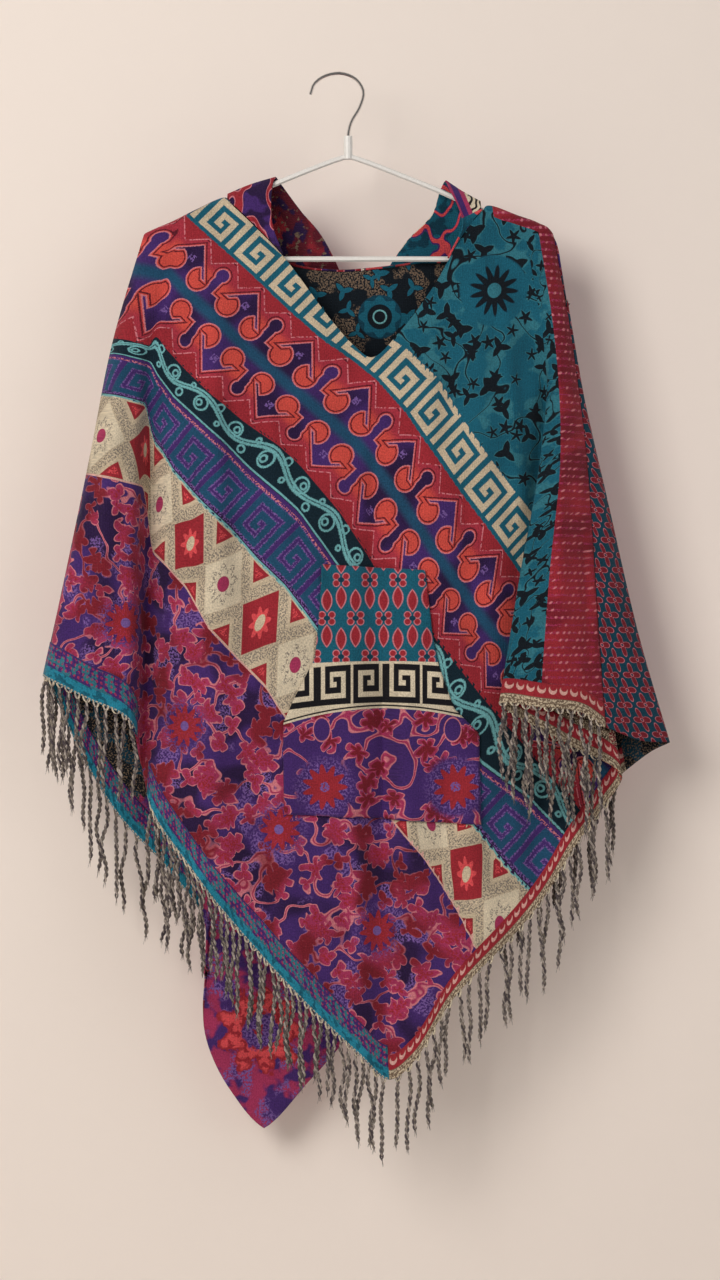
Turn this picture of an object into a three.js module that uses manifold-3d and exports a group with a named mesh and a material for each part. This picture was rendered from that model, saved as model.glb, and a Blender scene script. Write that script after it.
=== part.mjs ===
// A hooded, fringed poncho of woven shawl cloth, hung on a coated wire hanger.
//
// Millimetres, +Z up, the front faces -Y. The origin is the inner crown of the hanger's hook, where it is held.
// Every sheet of cloth is lofted through fold lines. The tables give a fold line as stations from its top to
// the hem, each [down, across, out]: down and across are measured on the wall from the upper left corner of a
// 720 x 1280 mm stretch, and out is the distance in front of the hanger's plane (behind it where negative).

import * as THREE from "three";
import { mergeVertices } from "three/addons/utils/BufferGeometryUtils.js";
import Module from "manifold-3d";

const wasm = await Module();
wasm.setup();

// The crown of the hook on the wall, and what the cloth is.
const HOOK = { across: 341, down: 71 };
const CLOTH = { wall: 2, hemGap: 1.3, edgeGap: 0.2 };

// The cloth rolls over the hanger's arms on this radius, sampled at these drops below the shoulder line.
const SHOULDER = { radius: 4.8, drops: [0, 0.5, 1.8, 4.8, 12] };

// The woven strip along each fringed hem, and the fringe.
const STRIP = { height: 11, endGap: 0.02 };
const STRAND = {
  radius: 2.3, rootRadius: 0.8, rootAbove: 4, rootBelow: 1, full: 8, length: 84, spread: 16,
  sway: 1.3, bendAt: 0.55, endAcross: 0.4, endOut: 1.4, sides: 3, turn: 0.25,
};

// An edge this near the hanger's plane is cut square to it. Normals are taken over these steps.
const SQUARE_WITHIN = 0.9;
const NORMAL_STEP = { fold: 0.25, share: 0.02, fine: 0.5, fineWithin: 13 };

// Grid steps of the lofted sheets.
const GRID = { perFold: 2, hemPerFold: 24, bareStep: 0.03, frontRows: 14, backRows: 12, hoodAcross: 7, hoodPerStation: 2 };

// How a place on a sheet is found under a point of the wall.
const SEARCH = { steps: 8, reach: 1e-3, levelSteps: 6 };

// The seam on the right sleeve, shared by the front and the back.
const RIGHT_SEAM = [[311, 568, 3], [352, 574, 5], [443, 585, 13], [521, 591, 20], [593, 595, 25], [727, 604, 30]];

// Front panel, from the left side fold to the seam on the right sleeve. roll is how far the shoulder roll acts.
const FRONT_FOLDS = [
  { fold: "left side", roll: 0, at: [[232, 143, 0], [343, 111, 0], [454, 89, 0], [565, 66, 0], [676, 42, 0]] },
  { fold: "left side roll", roll: 0.7, at: [[229, 149, 0], [343, 116, 7], [454, 95, 11], [565, 72, 15], [679, 49, 19]] },
  { fold: "left sleeve crest", roll: 1, at: [[225, 158, 0], [343, 127, 13], [460, 111, 23], [580, 98, 29], [698, 88, 33]] },
  { fold: "left sleeve edge", roll: 1, at: [[221, 168, 0], [345, 141, 11], [470, 134, 21], [595, 131, 27], [719, 129, 31]] },
  { fold: "left valley", roll: 1, at: [[216, 179, 0], [345, 153, 4], [470, 147, 3], [610, 144, 2], [768, 141, 1]] },
  { fold: "left valley rise", roll: 1, at: [[211, 190, 0], [350, 173, 9], [480, 170, 13], [620, 166, 15], [813, 154, 17]] },
  { fold: "left chest", roll: 1, at: [[203, 205, 0], [365, 197, 21], [530, 195, 27], [695, 190, 31], [864, 190, 34]] },
  { fold: "left neck point", roll: 1, at: [[195.5, 224, 0], [370, 223, 23], [550, 225, 30], [725, 221, 35], [902, 218, 37]] },
  { fold: "left vee top", roll: 0, at: [[200.5, 229, 5.5], [383, 247, 25], [563, 250, 31], [745, 246, 36], [930, 241, 38]] },
  { fold: "left vee", roll: 0, at: [[254, 282, 9], [420, 281, 26], [590, 280, 32], [770, 275, 38], [958, 266, 40]] },
  { fold: "left vee foot", roll: 0, at: [[318, 330, 13], [480, 331, 29], [650, 330, 33], [830, 322, 37], [1009, 314, 40]] },
  { fold: "centre left ridge", roll: 0, at: [[345, 354, 14], [520, 355, 28], [700, 355, 34], [880, 353, 38], [1050, 357, 38]] },
  { fold: "centre valley", roll: 0, at: [[357, 372, 15], [540, 376, 25], [720, 380, 23], [900, 381, 21], [1078, 389, 30]] },
  { fold: "centre right ridge", roll: 0, at: [[331, 400, 14], [500, 403, 28], [680, 405, 34], [860, 408, 37], [1060, 413, 36]] },
  { fold: "right vee", roll: 0, at: [[285, 434, 11], [450, 440, 28], [620, 446, 34], [800, 454, 36], [999, 451, 36]] },
  { fold: "right neck", roll: 0, at: [[232, 464, 6], [400, 480, 24], [570, 492, 27], [740, 502, 26], [928, 519, 25]] },
  { fold: "right vee top", roll: 0, at: [[208, 484, 5.5], [380, 500, 18], [540, 514, 18], [700, 526, 17], [893, 547, 17]] },
  { fold: "right neck point", roll: 1, at: [[203.5, 489, 0], [370, 514, 13], [530, 530, 11], [690, 549, 9], [850, 573, 10]] },
  { fold: "tuck in", roll: 1, at: [[208, 502, 0], [370, 529, 8], [500, 556, 4], [650, 584, 4], [807, 604, 6]] },
  { fold: "tuck turn", roll: 1, at: [[211, 512, 0], [365, 538, 6], [480, 567, 8], [630, 598, 10], [776, 621, 12]] },
  { fold: "tuck back", roll: 1, at: [[214, 520, 0], [355, 544, 8], [465, 557, 19], [600, 566, 24], [743, 566, 27]] },
  { fold: "sleeve fold", roll: 1, at: [[217, 529, 0], [345, 549, 12], [455, 541, 28], [580, 519, 38], [703, 499, 42]] },
  { fold: "sleeve front", roll: 1, at: [[221, 539, 0], [350, 557, 17], [460, 561, 34], [580, 551, 46], [707, 543, 50]] },
  { fold: "sleeve side", roll: 0.8, at: [[225, 548, 0], [350, 567, 12], [465, 576, 26], [590, 577, 36], [712, 580, 41]] },
  { fold: "right seam", roll: 0, at: [[232, 554, 0], [285, 563.5, 0], [300, 566, 0.8], ...RIGHT_SEAM] },
];

// Back panel, from the left side fold, across the back and round the right side to the same seam.
const BACK_FOLDS = [
  { fold: "left side", roll: 0, at: [[232, 143, 0], [343, 111, 0], [454, 89, 0], [565, 66, 0], [676, 42, 0]] },
  { fold: "left side roll", roll: 0.7, at: [[229, 149, 0], [343, 117, -7], [454, 96, -11], [565, 73, -14], [699, 52, -16]] },
  { fold: "left arm", roll: 1, at: [[225, 158, 0], [350, 130, -12], [480, 112, -18], [600, 98, -20], [760, 79, -22]] },
  { fold: "left arm valley", roll: 1, at: [[219, 172, 0], [370, 155, -14], [520, 146, -20], [670, 136, -22], [820, 116, -24]] },
  { fold: "left shoulder blade", roll: 1, at: [[207, 196, 0], [380, 188, -18], [550, 182, -26], [710, 172, -32], [872, 163, -32]] },
  { fold: "left neck point", roll: 1, at: [[195.5, 224, 0], [390, 216, -20], [580, 210, -26], [760, 203, -30], [925, 201, -30]] },
  { fold: "left neck top", roll: 0, at: [[201, 229, -5.5], [395, 228, -21], [590, 220, -27], [780, 212, -32], [975, 203, -32]] },
  { fold: "left neck", roll: 0, at: [[237, 250, -7], [430, 246, -22], [630, 236, -30], [840, 222, -36], [1040, 202, -34]] },
  { fold: "left neck foot", roll: 0, at: [[261, 288, -10], [480, 280, -23], [690, 268, -28], [900, 252, -32], [1098, 228, -34]] },
  { fold: "back point", roll: 0, at: [[268, 335, -12], [490, 322, -25], [700, 304, -32], [920, 284, -38], [1131, 262, -40]] },
  { fold: "back centre", roll: 0, at: [[267, 362, -12], [490, 356, -25], [700, 345, -29], [900, 330, -33], [1085, 312, -36]] },
  { fold: "back right ridge", roll: 0, at: [[264, 390, -12], [470, 390, -26], [680, 386, -32], [870, 380, -36], [1022, 368, -36]] },
  { fold: "right neck foot", roll: 0, at: [[260, 420, -11], [450, 428, -24], [640, 432, -27], [800, 436, -29], [955, 438, -30]] },
  { fold: "right neck", roll: 0, at: [[257, 450, -10], [430, 468, -22], [600, 480, -28], [750, 492, -30], [895, 500, -28]] },
  { fold: "right nape", roll: 0, at: [[228, 472, -5], [400, 498, -19], [560, 520, -23], [700, 540, -24], [845, 553, -24]] },
  { fold: "right neck top", roll: 0, at: [[208.5, 484, -5.5], [385, 511, -18], [540, 535, -22], [680, 557, -23], [820, 577, -22]] },
  { fold: "right neck point", roll: 1, at: [[203.5, 489, 0], [370, 524, -15], [520, 550, -21], [660, 575, -22], [798, 601, -20]] },
  { fold: "right shoulder blade", roll: 1, at: [[213, 518, 0], [370, 549, -12], [510, 576, -17], [640, 604, -18], [772, 630, -16]] },
  { fold: "right arm", roll: 1, at: [[223, 543, 0], [370, 567, -8], [500, 597, -12], [630, 627, -13], [752, 656, -11]] },
  { fold: "right side roll", roll: 0.3, at: [[238, 556, 0], [370, 577, -4], [500, 606, -6], [630, 636, -7], [745, 669, -5]] },
  { fold: "right side", roll: 0, at: [[290, 565.2, 0], [385, 582.5, 0], [500, 608, 1], [630, 638, 1], [743, 671, 1]] },
  { fold: "side strip", roll: 0, at: [[305, 569.3, 0.6], [390, 583, 4.5], [500, 602, 12], [620, 619, 17], [741, 643, 17]] },
  { fold: "right seam", roll: 0, at: RIGHT_SEAM.map(([down, across, out]) => [down, across + 0.9, out - 0.4]) },
];

// Hood, each half lofted through three ribs from the neck point (outer) to the opening (inner). Each rib runs from
// the front vee seam, over the hanger's arm, down behind the back as the outer layer of the hanging bag, round
// its bottom, and up as the inner layer to the back neckline.
const HOOD_STATIONS = [
  "vee seam", "front", "under ridge", "ridge", "behind ridge", "fall", "outer layer top", "outer layer",
  "outer layer foot", "bottom", "inner layer foot", "inner layer", "inner layer top", "neckline roll", "neckline",
];
const HOOD_LEFT_RIBS = [
  { rib: "outer", at: [[203.5, 230.5, 7], [199, 229, 6.5], [195.5, 228, 5], [191.5, 227, 0], [196, 226, -8], [215, 226, -19],
    [262, 226, -30], [330, 232, -38], [400, 246, -44], [440, 262, -43], [400, 250, -38], [330, 238, -32],
    [262, 233, -24], [218, 231, -15], [205, 230, -7]] },
  { rib: "middle", at: [[227, 255, 8], [212, 253, 9], [192, 251, 6], [182, 250, 0], [187, 251, -9], [205, 257, -18],
    [245, 272, -28], [320, 290, -42], [430, 305, -50], [472, 312, -46], [430, 306, -40], [330, 292, -33],
    [275, 282, -24], [250, 270, -16], [245, 264, -9]] },
  { rib: "inner", at: [[252, 282, 10], [222, 272, 11], [184, 272, 8], [174.5, 275, 0], [181, 281, -8], [206, 300, -14],
    [232, 322, -20], [290, 348, -32], [400, 361, -50], [482, 361, -47], [400, 361, -41], [330, 361, -33],
    [285, 361, -24], [269, 361, -18], [265.5, 361, -12.5]] },
];
const HOOD_RIGHT_RIBS = [
  { rib: "outer", at: [[212, 482, 7], [207, 482, 6.5], [203, 481, 5], [199, 481, 0], [203, 482, -8], [220, 484, -18],
    [262, 488, -30], [330, 482, -38], [400, 470, -44], [440, 458, -43], [400, 466, -38], [330, 476, -32],
    [262, 480, -24], [226, 480, -15], [211, 479.5, -6]] },
  { rib: "middle", at: [[231, 465, 8], [220, 466, 9], [197, 465, 6], [189, 463, 0], [193, 461, -9], [208, 452, -18],
    [245, 440, -28], [320, 430, -42], [430, 418, -50], [472, 412, -46], [430, 416, -40], [330, 430, -33],
    [275, 440, -24], [252, 446, -16], [246, 455, -9]] },
  { rib: "inner", at: [[256, 450, 10], [222, 463, 12], [187, 450, 8], [178, 446, 0], [186, 441, -8], [210, 433, -14],
    [238, 406, -20], [290, 376, -32], [400, 362.6, -50], [482, 362.6, -47], [400, 362.6, -41], [330, 362.6, -33],
    [284, 362.6, -24], [268, 362.6, -18], [264.5, 362.6, -12.5]] },
];

// Which folds each half of the hood is sewn along, from the neck point inwards.
const HOOD = {
  veeGap: 1.3,
  necklineGap: 1.7,
  necklineRoll: new THREE.Vector3(0, 5, 0.4),
  left: { ribs: HOOD_LEFT_RIBS, veeSeam: [8.06, 9], neckline: [6.06, 9.97] },
  right: { ribs: HOOD_RIGHT_RIBS, veeSeam: [15.94, 14.5], neckline: [14.94, 10.03] },
};

// Pocket: half-width outline down its sides, its slope across, and how far it stands off the front.
const POCKET = {
  sides: [
    { down: 568, left: 321, right: 425 },
    { down: 632, left: 319, right: 432 },
    { down: 662, left: 315, right: 438 },
    { down: 704, left: 294, right: 453 },
    { down: 728, left: 284, right: 478 },
    { down: 818, left: 285, right: 479 },
  ],
  slope: 0.055, middle: 380, gap: 0.7, bulge: 2.2, innerFolds: [10, 14], rows: 10,
  guess: { left: 9.5, right: 14.5, top: 320, fall: 690 },
};

// Fringed stretches of hem, by fold numbers, with the number of strands on each.
const FRINGES = [
  { name: "fringe_left_sleeve", sheet: "front", from: 0, to: 3.4, first: 0.1, final: 3.2, strands: 12 },
  { name: "fringe_front_left", sheet: "front", from: 4.6, to: 12, first: 4.75, final: 11.95, strands: 38 },
  { name: "fringe_front_right", sheet: "front", from: 12, to: 19, first: 12.1, final: 18.3, strands: 24 },
  { name: "fringe_right_sleeve", sheet: "front", from: 19, to: 24, first: 19.5, final: 23.9, strands: 20 },
  { name: "fringe_back_left", sheet: "back", from: 0, to: 4.8, first: 0.2, final: 4.7, strands: 17 },
  { name: "fringe_back_right", sheet: "back", from: 13, to: 17, first: 13.1, final: 16.8, strands: 13 },
];

// Stretches of hem with no fringe: the front's left valley, the back's hanging corner and the right side.
const FRONT_BARE_HEM = [[3.4, 4.6]];
const BACK_BARE_HEM = [[4.8, 13], [17, 22]];

// From this fold on the back comes round the right side to the front.
const BACK_ROUNDS_FROM = 19;

// Wire hanger: the coated wire's loop from the collar down one arm, along the bar and up the other arm.
const HANGER = {
  wire: 2.7, sides: 6, steps: 52,
  left: [[153, 347.2], [158, 332], [181.5, 273], [203.5, 223], [217.5, 189], [232, 157]],
  leftEnd: [[240, 147.5], [250, 148], [255.8, 156], [256.5, 168]],
  bar: [[256.5, 260], [256.5, 436]],
  rightEnd: [[256.5, 528], [255.8, 540], [250, 548], [240, 547.5]],
  right: [[229, 539], [210.5, 489], [189, 442], [158, 364], [153, 348.8]],
  collar: { across: 348, top: 133, bottom: 156, radius: 4.4, bore: 2.1, boreDepth: 14, sides: 12 },
};
const HANGER_HOOK = {
  wire: 1.6, sides: 6, steps: 30,
  route: [[91, 310], [80, 314], [72, 325], [69.4, 341], [75.5, 356], [88, 363.5], [103, 360], [119, 351], [133, 348], [146, 348]],
};

const COLOURS = {
  front: 0x6a2a52, back: 0x4a2a5c, hood: 0x7a2440, pocket: 0x2c5f78, teal: 0x0b93ad, tan: 0xa98f6c,
  coat: 0xf1f0ee, chrome: 0xc8ccd0,
};

const finish = (color, roughness, metalness = 0) => new THREE.MeshStandardMaterial({ color, roughness, metalness });

// A place on the wall as a point in the part's frame.
const place = ([down, across, out]) => new THREE.Vector3(across - HOOK.across, -out, HOOK.down - down);

// Cubic through stations of a fold line, by the first number of each station.
function alongFold(stations, down) {
  const last = stations.length - 1;
  let i = 0;
  while (i < last - 1 && down > stations[i + 1][0]) i += 1;
  const [a, b] = [stations[i], stations[i + 1]];
  const span = b[0] - a[0];
  const u = (down - a[0]) / span;
  const slope = (k, column) => {
    const before = stations[Math.max(k - 1, 0)];
    const after = stations[Math.min(k + 1, last)];
    return (after[column] - before[column]) / (after[0] - before[0]);
  };
  return [1, 2].map((column) => {
    const rise = 3 * u * u - 2 * u * u * u;
    const start = (u - 1) * (u - 1) * u * slope(i, column) * span;
    const end = (u - 1) * u * u * slope(i + 1, column) * span;
    return a[column] + (b[column] - a[column]) * rise + start + end;
  });
}

// Centripetal Catmull-Rom between the second and third of four points.
function between(p0, p1, p2, p3, u) {
  const d0 = Math.sqrt(Math.max(p0.distanceTo(p1), 1e-3));
  const d1 = Math.sqrt(Math.max(p1.distanceTo(p2), 1e-3));
  const d2 = Math.sqrt(Math.max(p2.distanceTo(p3), 1e-3));
  const at = new THREE.Vector3();
  for (const axis of ["x", "y", "z"]) {
    const [a, b, c, d] = [p0[axis], p1[axis], p2[axis], p3[axis]];
    const start = ((b - a) / d0 - (c - a) / (d0 + d1) + (c - b) / d1) * d1;
    const end = ((c - b) / d1 - (d - b) / (d1 + d2) + (d - c) / d2) * d1;
    at[axis] = b + start * u + (3 * (c - b) - 2 * start - end) * u * u + (start + end - 2 * (c - b)) * u * u * u;
  }
  return at;
}

// The smooth curve through a row of points, at a place counted in points.
function throughPoints(pointAt, count, s) {
  const i = Math.min(Math.floor(s), count - 2);
  const [p1, p2] = [pointAt(i), pointAt(i + 1)];
  const p0 = i > 0 ? pointAt(i - 1) : p1.clone().multiplyScalar(2).sub(p2);
  const p3 = i + 2 < count ? pointAt(i + 2) : p2.clone().multiplyScalar(2).sub(p1);
  return between(p0, p1, p2, p3, s - i);
}

// A sheet lofted through fold lines: at(s, t) with s counted in folds and t from the top edge to the hem.
class Sheet {
  constructor(folds, side, roundsFrom) {
    this.folds = folds;
    this.side = side;
    this.roundsFrom = roundsFrom;
    this.last = folds.length - 1;
  }

  raw(s, t) {
    const onFold = (k) => {
      const { at } = this.folds[k];
      const down = at[0][0] + t * (at[at.length - 1][0] - at[0][0]);
      const [across, out] = alongFold(at, down);
      return place([down, across, out]);
    };
    return throughPoints(onFold, this.folds.length, s);
  }

  length(s) {
    return this.raw(s, 0).z - this.raw(s, 1).z;
  }

  at(s, t) {
    const point = this.raw(s, t);
    const i = Math.min(Math.floor(s), this.last - 1);
    const roll = this.folds[i].roll + (s - i) * (this.folds[i + 1].roll - this.folds[i].roll);
    const drop = Math.min(t * this.length(s), SHOULDER.radius);
    const rest = SHOULDER.radius - drop;
    const depth = Math.sqrt(SHOULDER.radius ** 2 - rest ** 2);
    // Each panel keeps to its own side of the hanger's plane, but for the strip that comes round the right side.
    const kept = t === 0 || s < this.roundsFrom;
    if (kept) point.y = this.side * Math.min(this.side * point.y, 0);
    point.y -= this.side * (CLOTH.edgeGap + roll * depth);
    return point;
  }

  // Share of the way down where the woven hem strip begins.
  cut(s) {
    return 1 - STRIP.height / this.length(s);
  }

  // The direction out of the sheet towards the viewer, square to the hanger's plane where two panels meet in it.
  normal(s, t) {
    const fine = t * this.length(s) < NORMAL_STEP.fineWithin;
    const ds = NORMAL_STEP.fold;
    const dt = fine ? NORMAL_STEP.fine / this.length(s) : NORMAL_STEP.share;
    const kept = (value, most) => Math.min(Math.max(value, 0), most);
    const along = this.at(kept(s + ds, this.last), t).sub(this.at(kept(s - ds, this.last), t));
    const fall = this.at(s, kept(t + dt, 1)).sub(this.at(s, kept(t - dt, 1)));
    const normal = fall.cross(along).normalize();
    const onEdge = t === 0 || s === 0 || s === this.last;
    if (onEdge && Math.abs(this.at(s, t).y) < SQUARE_WITHIN) normal.setY(0).normalize();
    return normal;
  }

  // A place on the top edge, as its facets run, and the way on from the sheet past that edge.
  sewnEdge(s, gap) {
    const corner = (k) => this.at(Math.min(k / GRID.perFold, this.last), 0);
    const k = Math.floor(s * GRID.perFold);
    const [a, b] = [corner(k), corner(k + 1)];
    const along = b.clone().sub(a);
    const up = this.at(s, 0).sub(this.at(s, NORMAL_STEP.share));
    const past = up.addScaledVector(along, -up.dot(along) / along.lengthSq()).normalize();
    return a.addScaledVector(along, s * GRID.perFold - k).addScaledVector(past, gap);
  }

  // The place on the sheet under a point of the wall, by Newton steps from a first guess.
  find(across, down, guess) {
    const [x, z] = [across - HOOK.across, HOOK.down - down];
    let [s, t] = guess;
    const step = SEARCH.reach;
    for (let i = 0; i < SEARCH.steps; i += 1) {
      const p = this.at(s, t);
      const ps = this.at(s + step, t);
      const pt = this.at(s, t + step);
      const [xs, zs] = [(ps.x - p.x) / step, (ps.z - p.z) / step];
      const [xt, zt] = [(pt.x - p.x) / step, (pt.z - p.z) / step];
      const det = xs * zt - xt * zs;
      s += ((x - p.x) * zt - (z - p.z) * xt) / det;
      t += (xs * (z - p.z) - zs * (x - p.x)) / det;
    }
    return [s, t];
  }
}

// Normals of a grid of points (rows down, columns across), facing the front for rows that run down.
function gridNormals(grid) {
  const [rows, columns] = [grid.length, grid[0].length];
  return grid.map((row, r) =>
    row.map((_, c) => {
      const down = grid[Math.min(r + 1, rows - 1)][c].clone().sub(grid[Math.max(r - 1, 0)][c]);
      const across = grid[r][Math.min(c + 1, columns - 1)].clone().sub(grid[r][Math.max(c - 1, 0)]);
      return down.cross(across).normalize();
    }),
  );
}

// A closed wall of cloth, half its thickness to each side of a grid of points.
function wallOf(grid, normals = gridNormals(grid)) {
  const [rows, columns] = [grid.length, grid[0].length];
  const positions = [];
  for (const side of [0.5, -0.5]) {
    grid.forEach((row, r) =>
      row.forEach((p, c) => {
        const q = p.clone().addScaledVector(normals[r][c], side * CLOTH.wall);
        positions.push(q.x, q.y, q.z);
      }),
    );
  }
  const inner = rows * columns;
  const faces = [];
  const quad = (a, b, c, d) => faces.push(a, b, c, a, c, d);
  for (let r = 0; r < rows - 1; r += 1) {
    for (let c = 0; c < columns - 1; c += 1) {
      const a = r * columns + c;
      const b = a + columns;
      quad(a, b, b + 1, a + 1);
      quad(inner + a, inner + a + 1, inner + b + 1, inner + b);
    }
  }
  const rim = [];
  for (let c = 0; c < columns - 1; c += 1) rim.push([c + 1, c]);
  for (let r = 0; r < rows - 1; r += 1) rim.push([r * columns, (r + 1) * columns]);
  for (let c = 0; c < columns - 1; c += 1) rim.push([(rows - 1) * columns + c, (rows - 1) * columns + c + 1]);
  for (let r = rows - 1; r > 0; r -= 1) rim.push([(r + 1) * columns - 1, r * columns - 1]);
  rim.forEach(([a, b]) => quad(b, a, inner + a, inner + b));
  const geometry = new THREE.BufferGeometry();
  geometry.setAttribute("position", new THREE.Float32BufferAttribute(positions, 3));
  geometry.setIndex(faces);
  return geometry;
}

// Column places across a sheet: the same number of steps between folds.
function columnsOf(from, to, perFold) {
  const steps = Math.round((to - from) * perFold);
  return Array.from({ length: steps + 1 }, (_, i) => from + (i / steps) * (to - from));
}

// A wall over a grid of places on a sheet.
const wallOn = (sheet, places) =>
  wallOf(
    places.map((row) => row.map(([s, t]) => sheet.at(s, t))),
    places.map((row) => row.map(([s, t]) => sheet.normal(s, t))),
  );

// A panel from its top edge to its hem strip, or to the hem itself between the folds given as bare.
function panel(sheet, rows, bare = []) {
  const columns = new Map(columnsOf(0, sheet.last, GRID.perFold).map((s) => [s, bare.some(([a, b]) => s > a && s < b)]));
  for (const [a, b] of bare) {
    columns.set(a, false);
    columns.set(a + GRID.bareStep, true);
    columns.set(b, b === sheet.last);
    if (b < sheet.last) columns.set(b - GRID.bareStep, true);
  }
  const places = [...columns].sort(([s], [q]) => s - q);
  const heads = SHOULDER.drops;
  const grid = Array.from({ length: rows + heads.length }, (_, r) =>
    places.map(([s, isBare]) => {
      const length = sheet.length(s);
      const end = isBare ? 1 : sheet.cut(s) - CLOTH.hemGap / length;
      const start = heads[heads.length - 1] / length;
      const t = r < heads.length ? heads[r] / length : start + ((r - heads.length + 1) / rows) * (end - start);
      return [s, t];
    }),
  );
  return wallOn(sheet, grid);
}

const solidOf = (geometry) => {
  const bare = geometry.clone();
  bare.deleteAttribute("normal");
  bare.deleteAttribute("uv");
  const merged = mergeVertices(bare, 1e-4);
  return new wasm.Manifold(
    new wasm.Mesh({
      numProp: 3,
      vertProperties: new Float32Array(merged.attributes.position.array),
      triVerts: new Uint32Array(merged.index.array),
    }),
  );
};

const geometryOf = (solid) => {
  const mesh = solid.getMesh();
  const geometry = new THREE.BufferGeometry();
  geometry.setAttribute("position", new THREE.BufferAttribute(mesh.vertProperties, 3));
  geometry.setIndex(new THREE.BufferAttribute(mesh.triVerts, 1));
  return geometry;
};

// A rod with a section of flat sides along a smooth route.
function rod(points, radius, sides, steps) {
  const section = new THREE.Shape();
  for (let i = 0; i < sides; i += 1) {
    const angle = ((i + 0.5) / sides) * 2 * Math.PI;
    section[i ? "lineTo" : "moveTo"](radius * Math.cos(angle), radius * Math.sin(angle));
  }
  const route = new THREE.CatmullRomCurve3(points, false, "centripetal");
  return new THREE.ExtrudeGeometry(section, { steps, extrudePath: route, bevelEnabled: false });
}

// A hanging strand of three sides through level rings, from its root down.
function strand(rings) {
  const { sides, turn } = STRAND;
  const positions = rings.flatMap(({ at, radius }) =>
    Array.from({ length: sides }, (_, i) => {
      const angle = ((i + turn) / sides) * 2 * Math.PI;
      return [at.x + radius * Math.cos(angle), at.y + radius * Math.sin(angle), at.z];
    }).flat(),
  );
  const foot = sides * (rings.length - 1);
  const faces = [0, 1, 2, foot, foot + 2, foot + 1];
  for (let r = 0; r < rings.length - 1; r += 1) {
    for (let i = 0; i < sides; i += 1) {
      const [a, b] = [r * sides + i, r * sides + ((i + 1) % sides)];
      faces.push(a, a + sides, b + sides, a, b + sides, b);
    }
  }
  const geometry = new THREE.BufferGeometry();
  geometry.setAttribute("position", new THREE.Float32BufferAttribute(positions, 3));
  geometry.setIndex(faces);
  return geometry;
}

// An uneven number between -1 and 1 that is the same in each build.
function uneven(n) {
  const x = Math.sin(n * 12.9898 + 4.1) * 43758.5453;
  return 2 * (x - Math.floor(x)) - 1;
}

// The hem strip of one stretch, with its strands fused in at their roots.
function fringe(sheet, { from, to, first, final, strands }, seed) {
  const inner = columnsOf(0, sheet.last, GRID.perFold).filter((s) => s > from && s < to);
  const places = [from > 0 ? from + STRIP.endGap : 0, ...inner, to - STRIP.endGap];
  const rows = [(s) => sheet.cut(s), () => 1];
  let solid = solidOf(wallOn(sheet, rows.map((share) => places.map((s) => [s, share(s)]))));
  // Strands are spread evenly along the hem's own length.
  const dense = columnsOf(first, final, GRID.hemPerFold).map((s) => ({ s, p: sheet.at(s, 1) }));
  const run = [0];
  for (let i = 1; i < dense.length; i += 1) run.push(run[i - 1] + dense[i].p.distanceTo(dense[i - 1].p));
  for (let k = 0; k < strands; k += 1) {
    const wanted = ((k + 0.5) / strands) * run[run.length - 1];
    const i = run.findIndex((length) => length >= wanted);
    const { s } = dense[i];
    const edge = sheet.at(s, 1);
    const root = sheet.at(s, 1 - STRAND.rootAbove / sheet.length(s));
    const length = STRAND.length + STRAND.spread * uneven(seed + k);
    const [swayX, swayY] = [STRAND.sway * uneven(seed + k + 50), STRAND.sway * uneven(seed + k + 90)];
    const hang = (drop, x, y) => edge.clone().add(new THREE.Vector3(x, y, -drop));
    solid = solid.add(
      solidOf(
        strand([
          { at: root, radius: STRAND.rootRadius },
          { at: hang(STRAND.rootBelow, 0, 0), radius: STRAND.rootRadius },
          { at: hang(STRAND.full, 0, 0), radius: STRAND.radius },
          { at: hang(STRAND.bendAt * length, swayX, swayY), radius: STRAND.radius },
          { at: hang(length, STRAND.endAcross * swayX, STRAND.endOut * swayY), radius: STRAND.radius },
        ]),
      ),
    );
  }
  return geometryOf(solid);
}

// One half of the hood: through its ribs, with its two sewn edges taken from the panels that they meet.
function hoodHalf({ front, back }, { ribs, veeSeam, neckline }) {
  const count = HOOD_STATIONS.length;
  const steps = GRID.hoodAcross - 1;
  const columns = Array.from({ length: steps + 1 }, (_, c) => {
    const u = c / steps;
    const sewn = (sheet, [outer, inner], gap) => sheet.sewnEdge(outer + u * (inner - outer), gap);
    const stations = HOOD_STATIONS.map((_, k) =>
      throughPoints((rib) => place(ribs[rib].at[k]), ribs.length, u * (ribs.length - 1)),
    );
    stations[0] = sewn(front, veeSeam, HOOD.veeGap);
    stations[count - 1] = sewn(back, neckline, HOOD.necklineGap);
    stations[count - 2] = stations[count - 1].clone().add(HOOD.necklineRoll);
    return stations;
  });
  const rows = (count - 1) * GRID.hoodPerStation;
  const grid = Array.from({ length: rows + 1 }, (_, r) =>
    columns.map((stations) => throughPoints((k) => stations[k], count, (r / rows) * (count - 1))),
  );
  return wallOf(grid);
}

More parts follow.
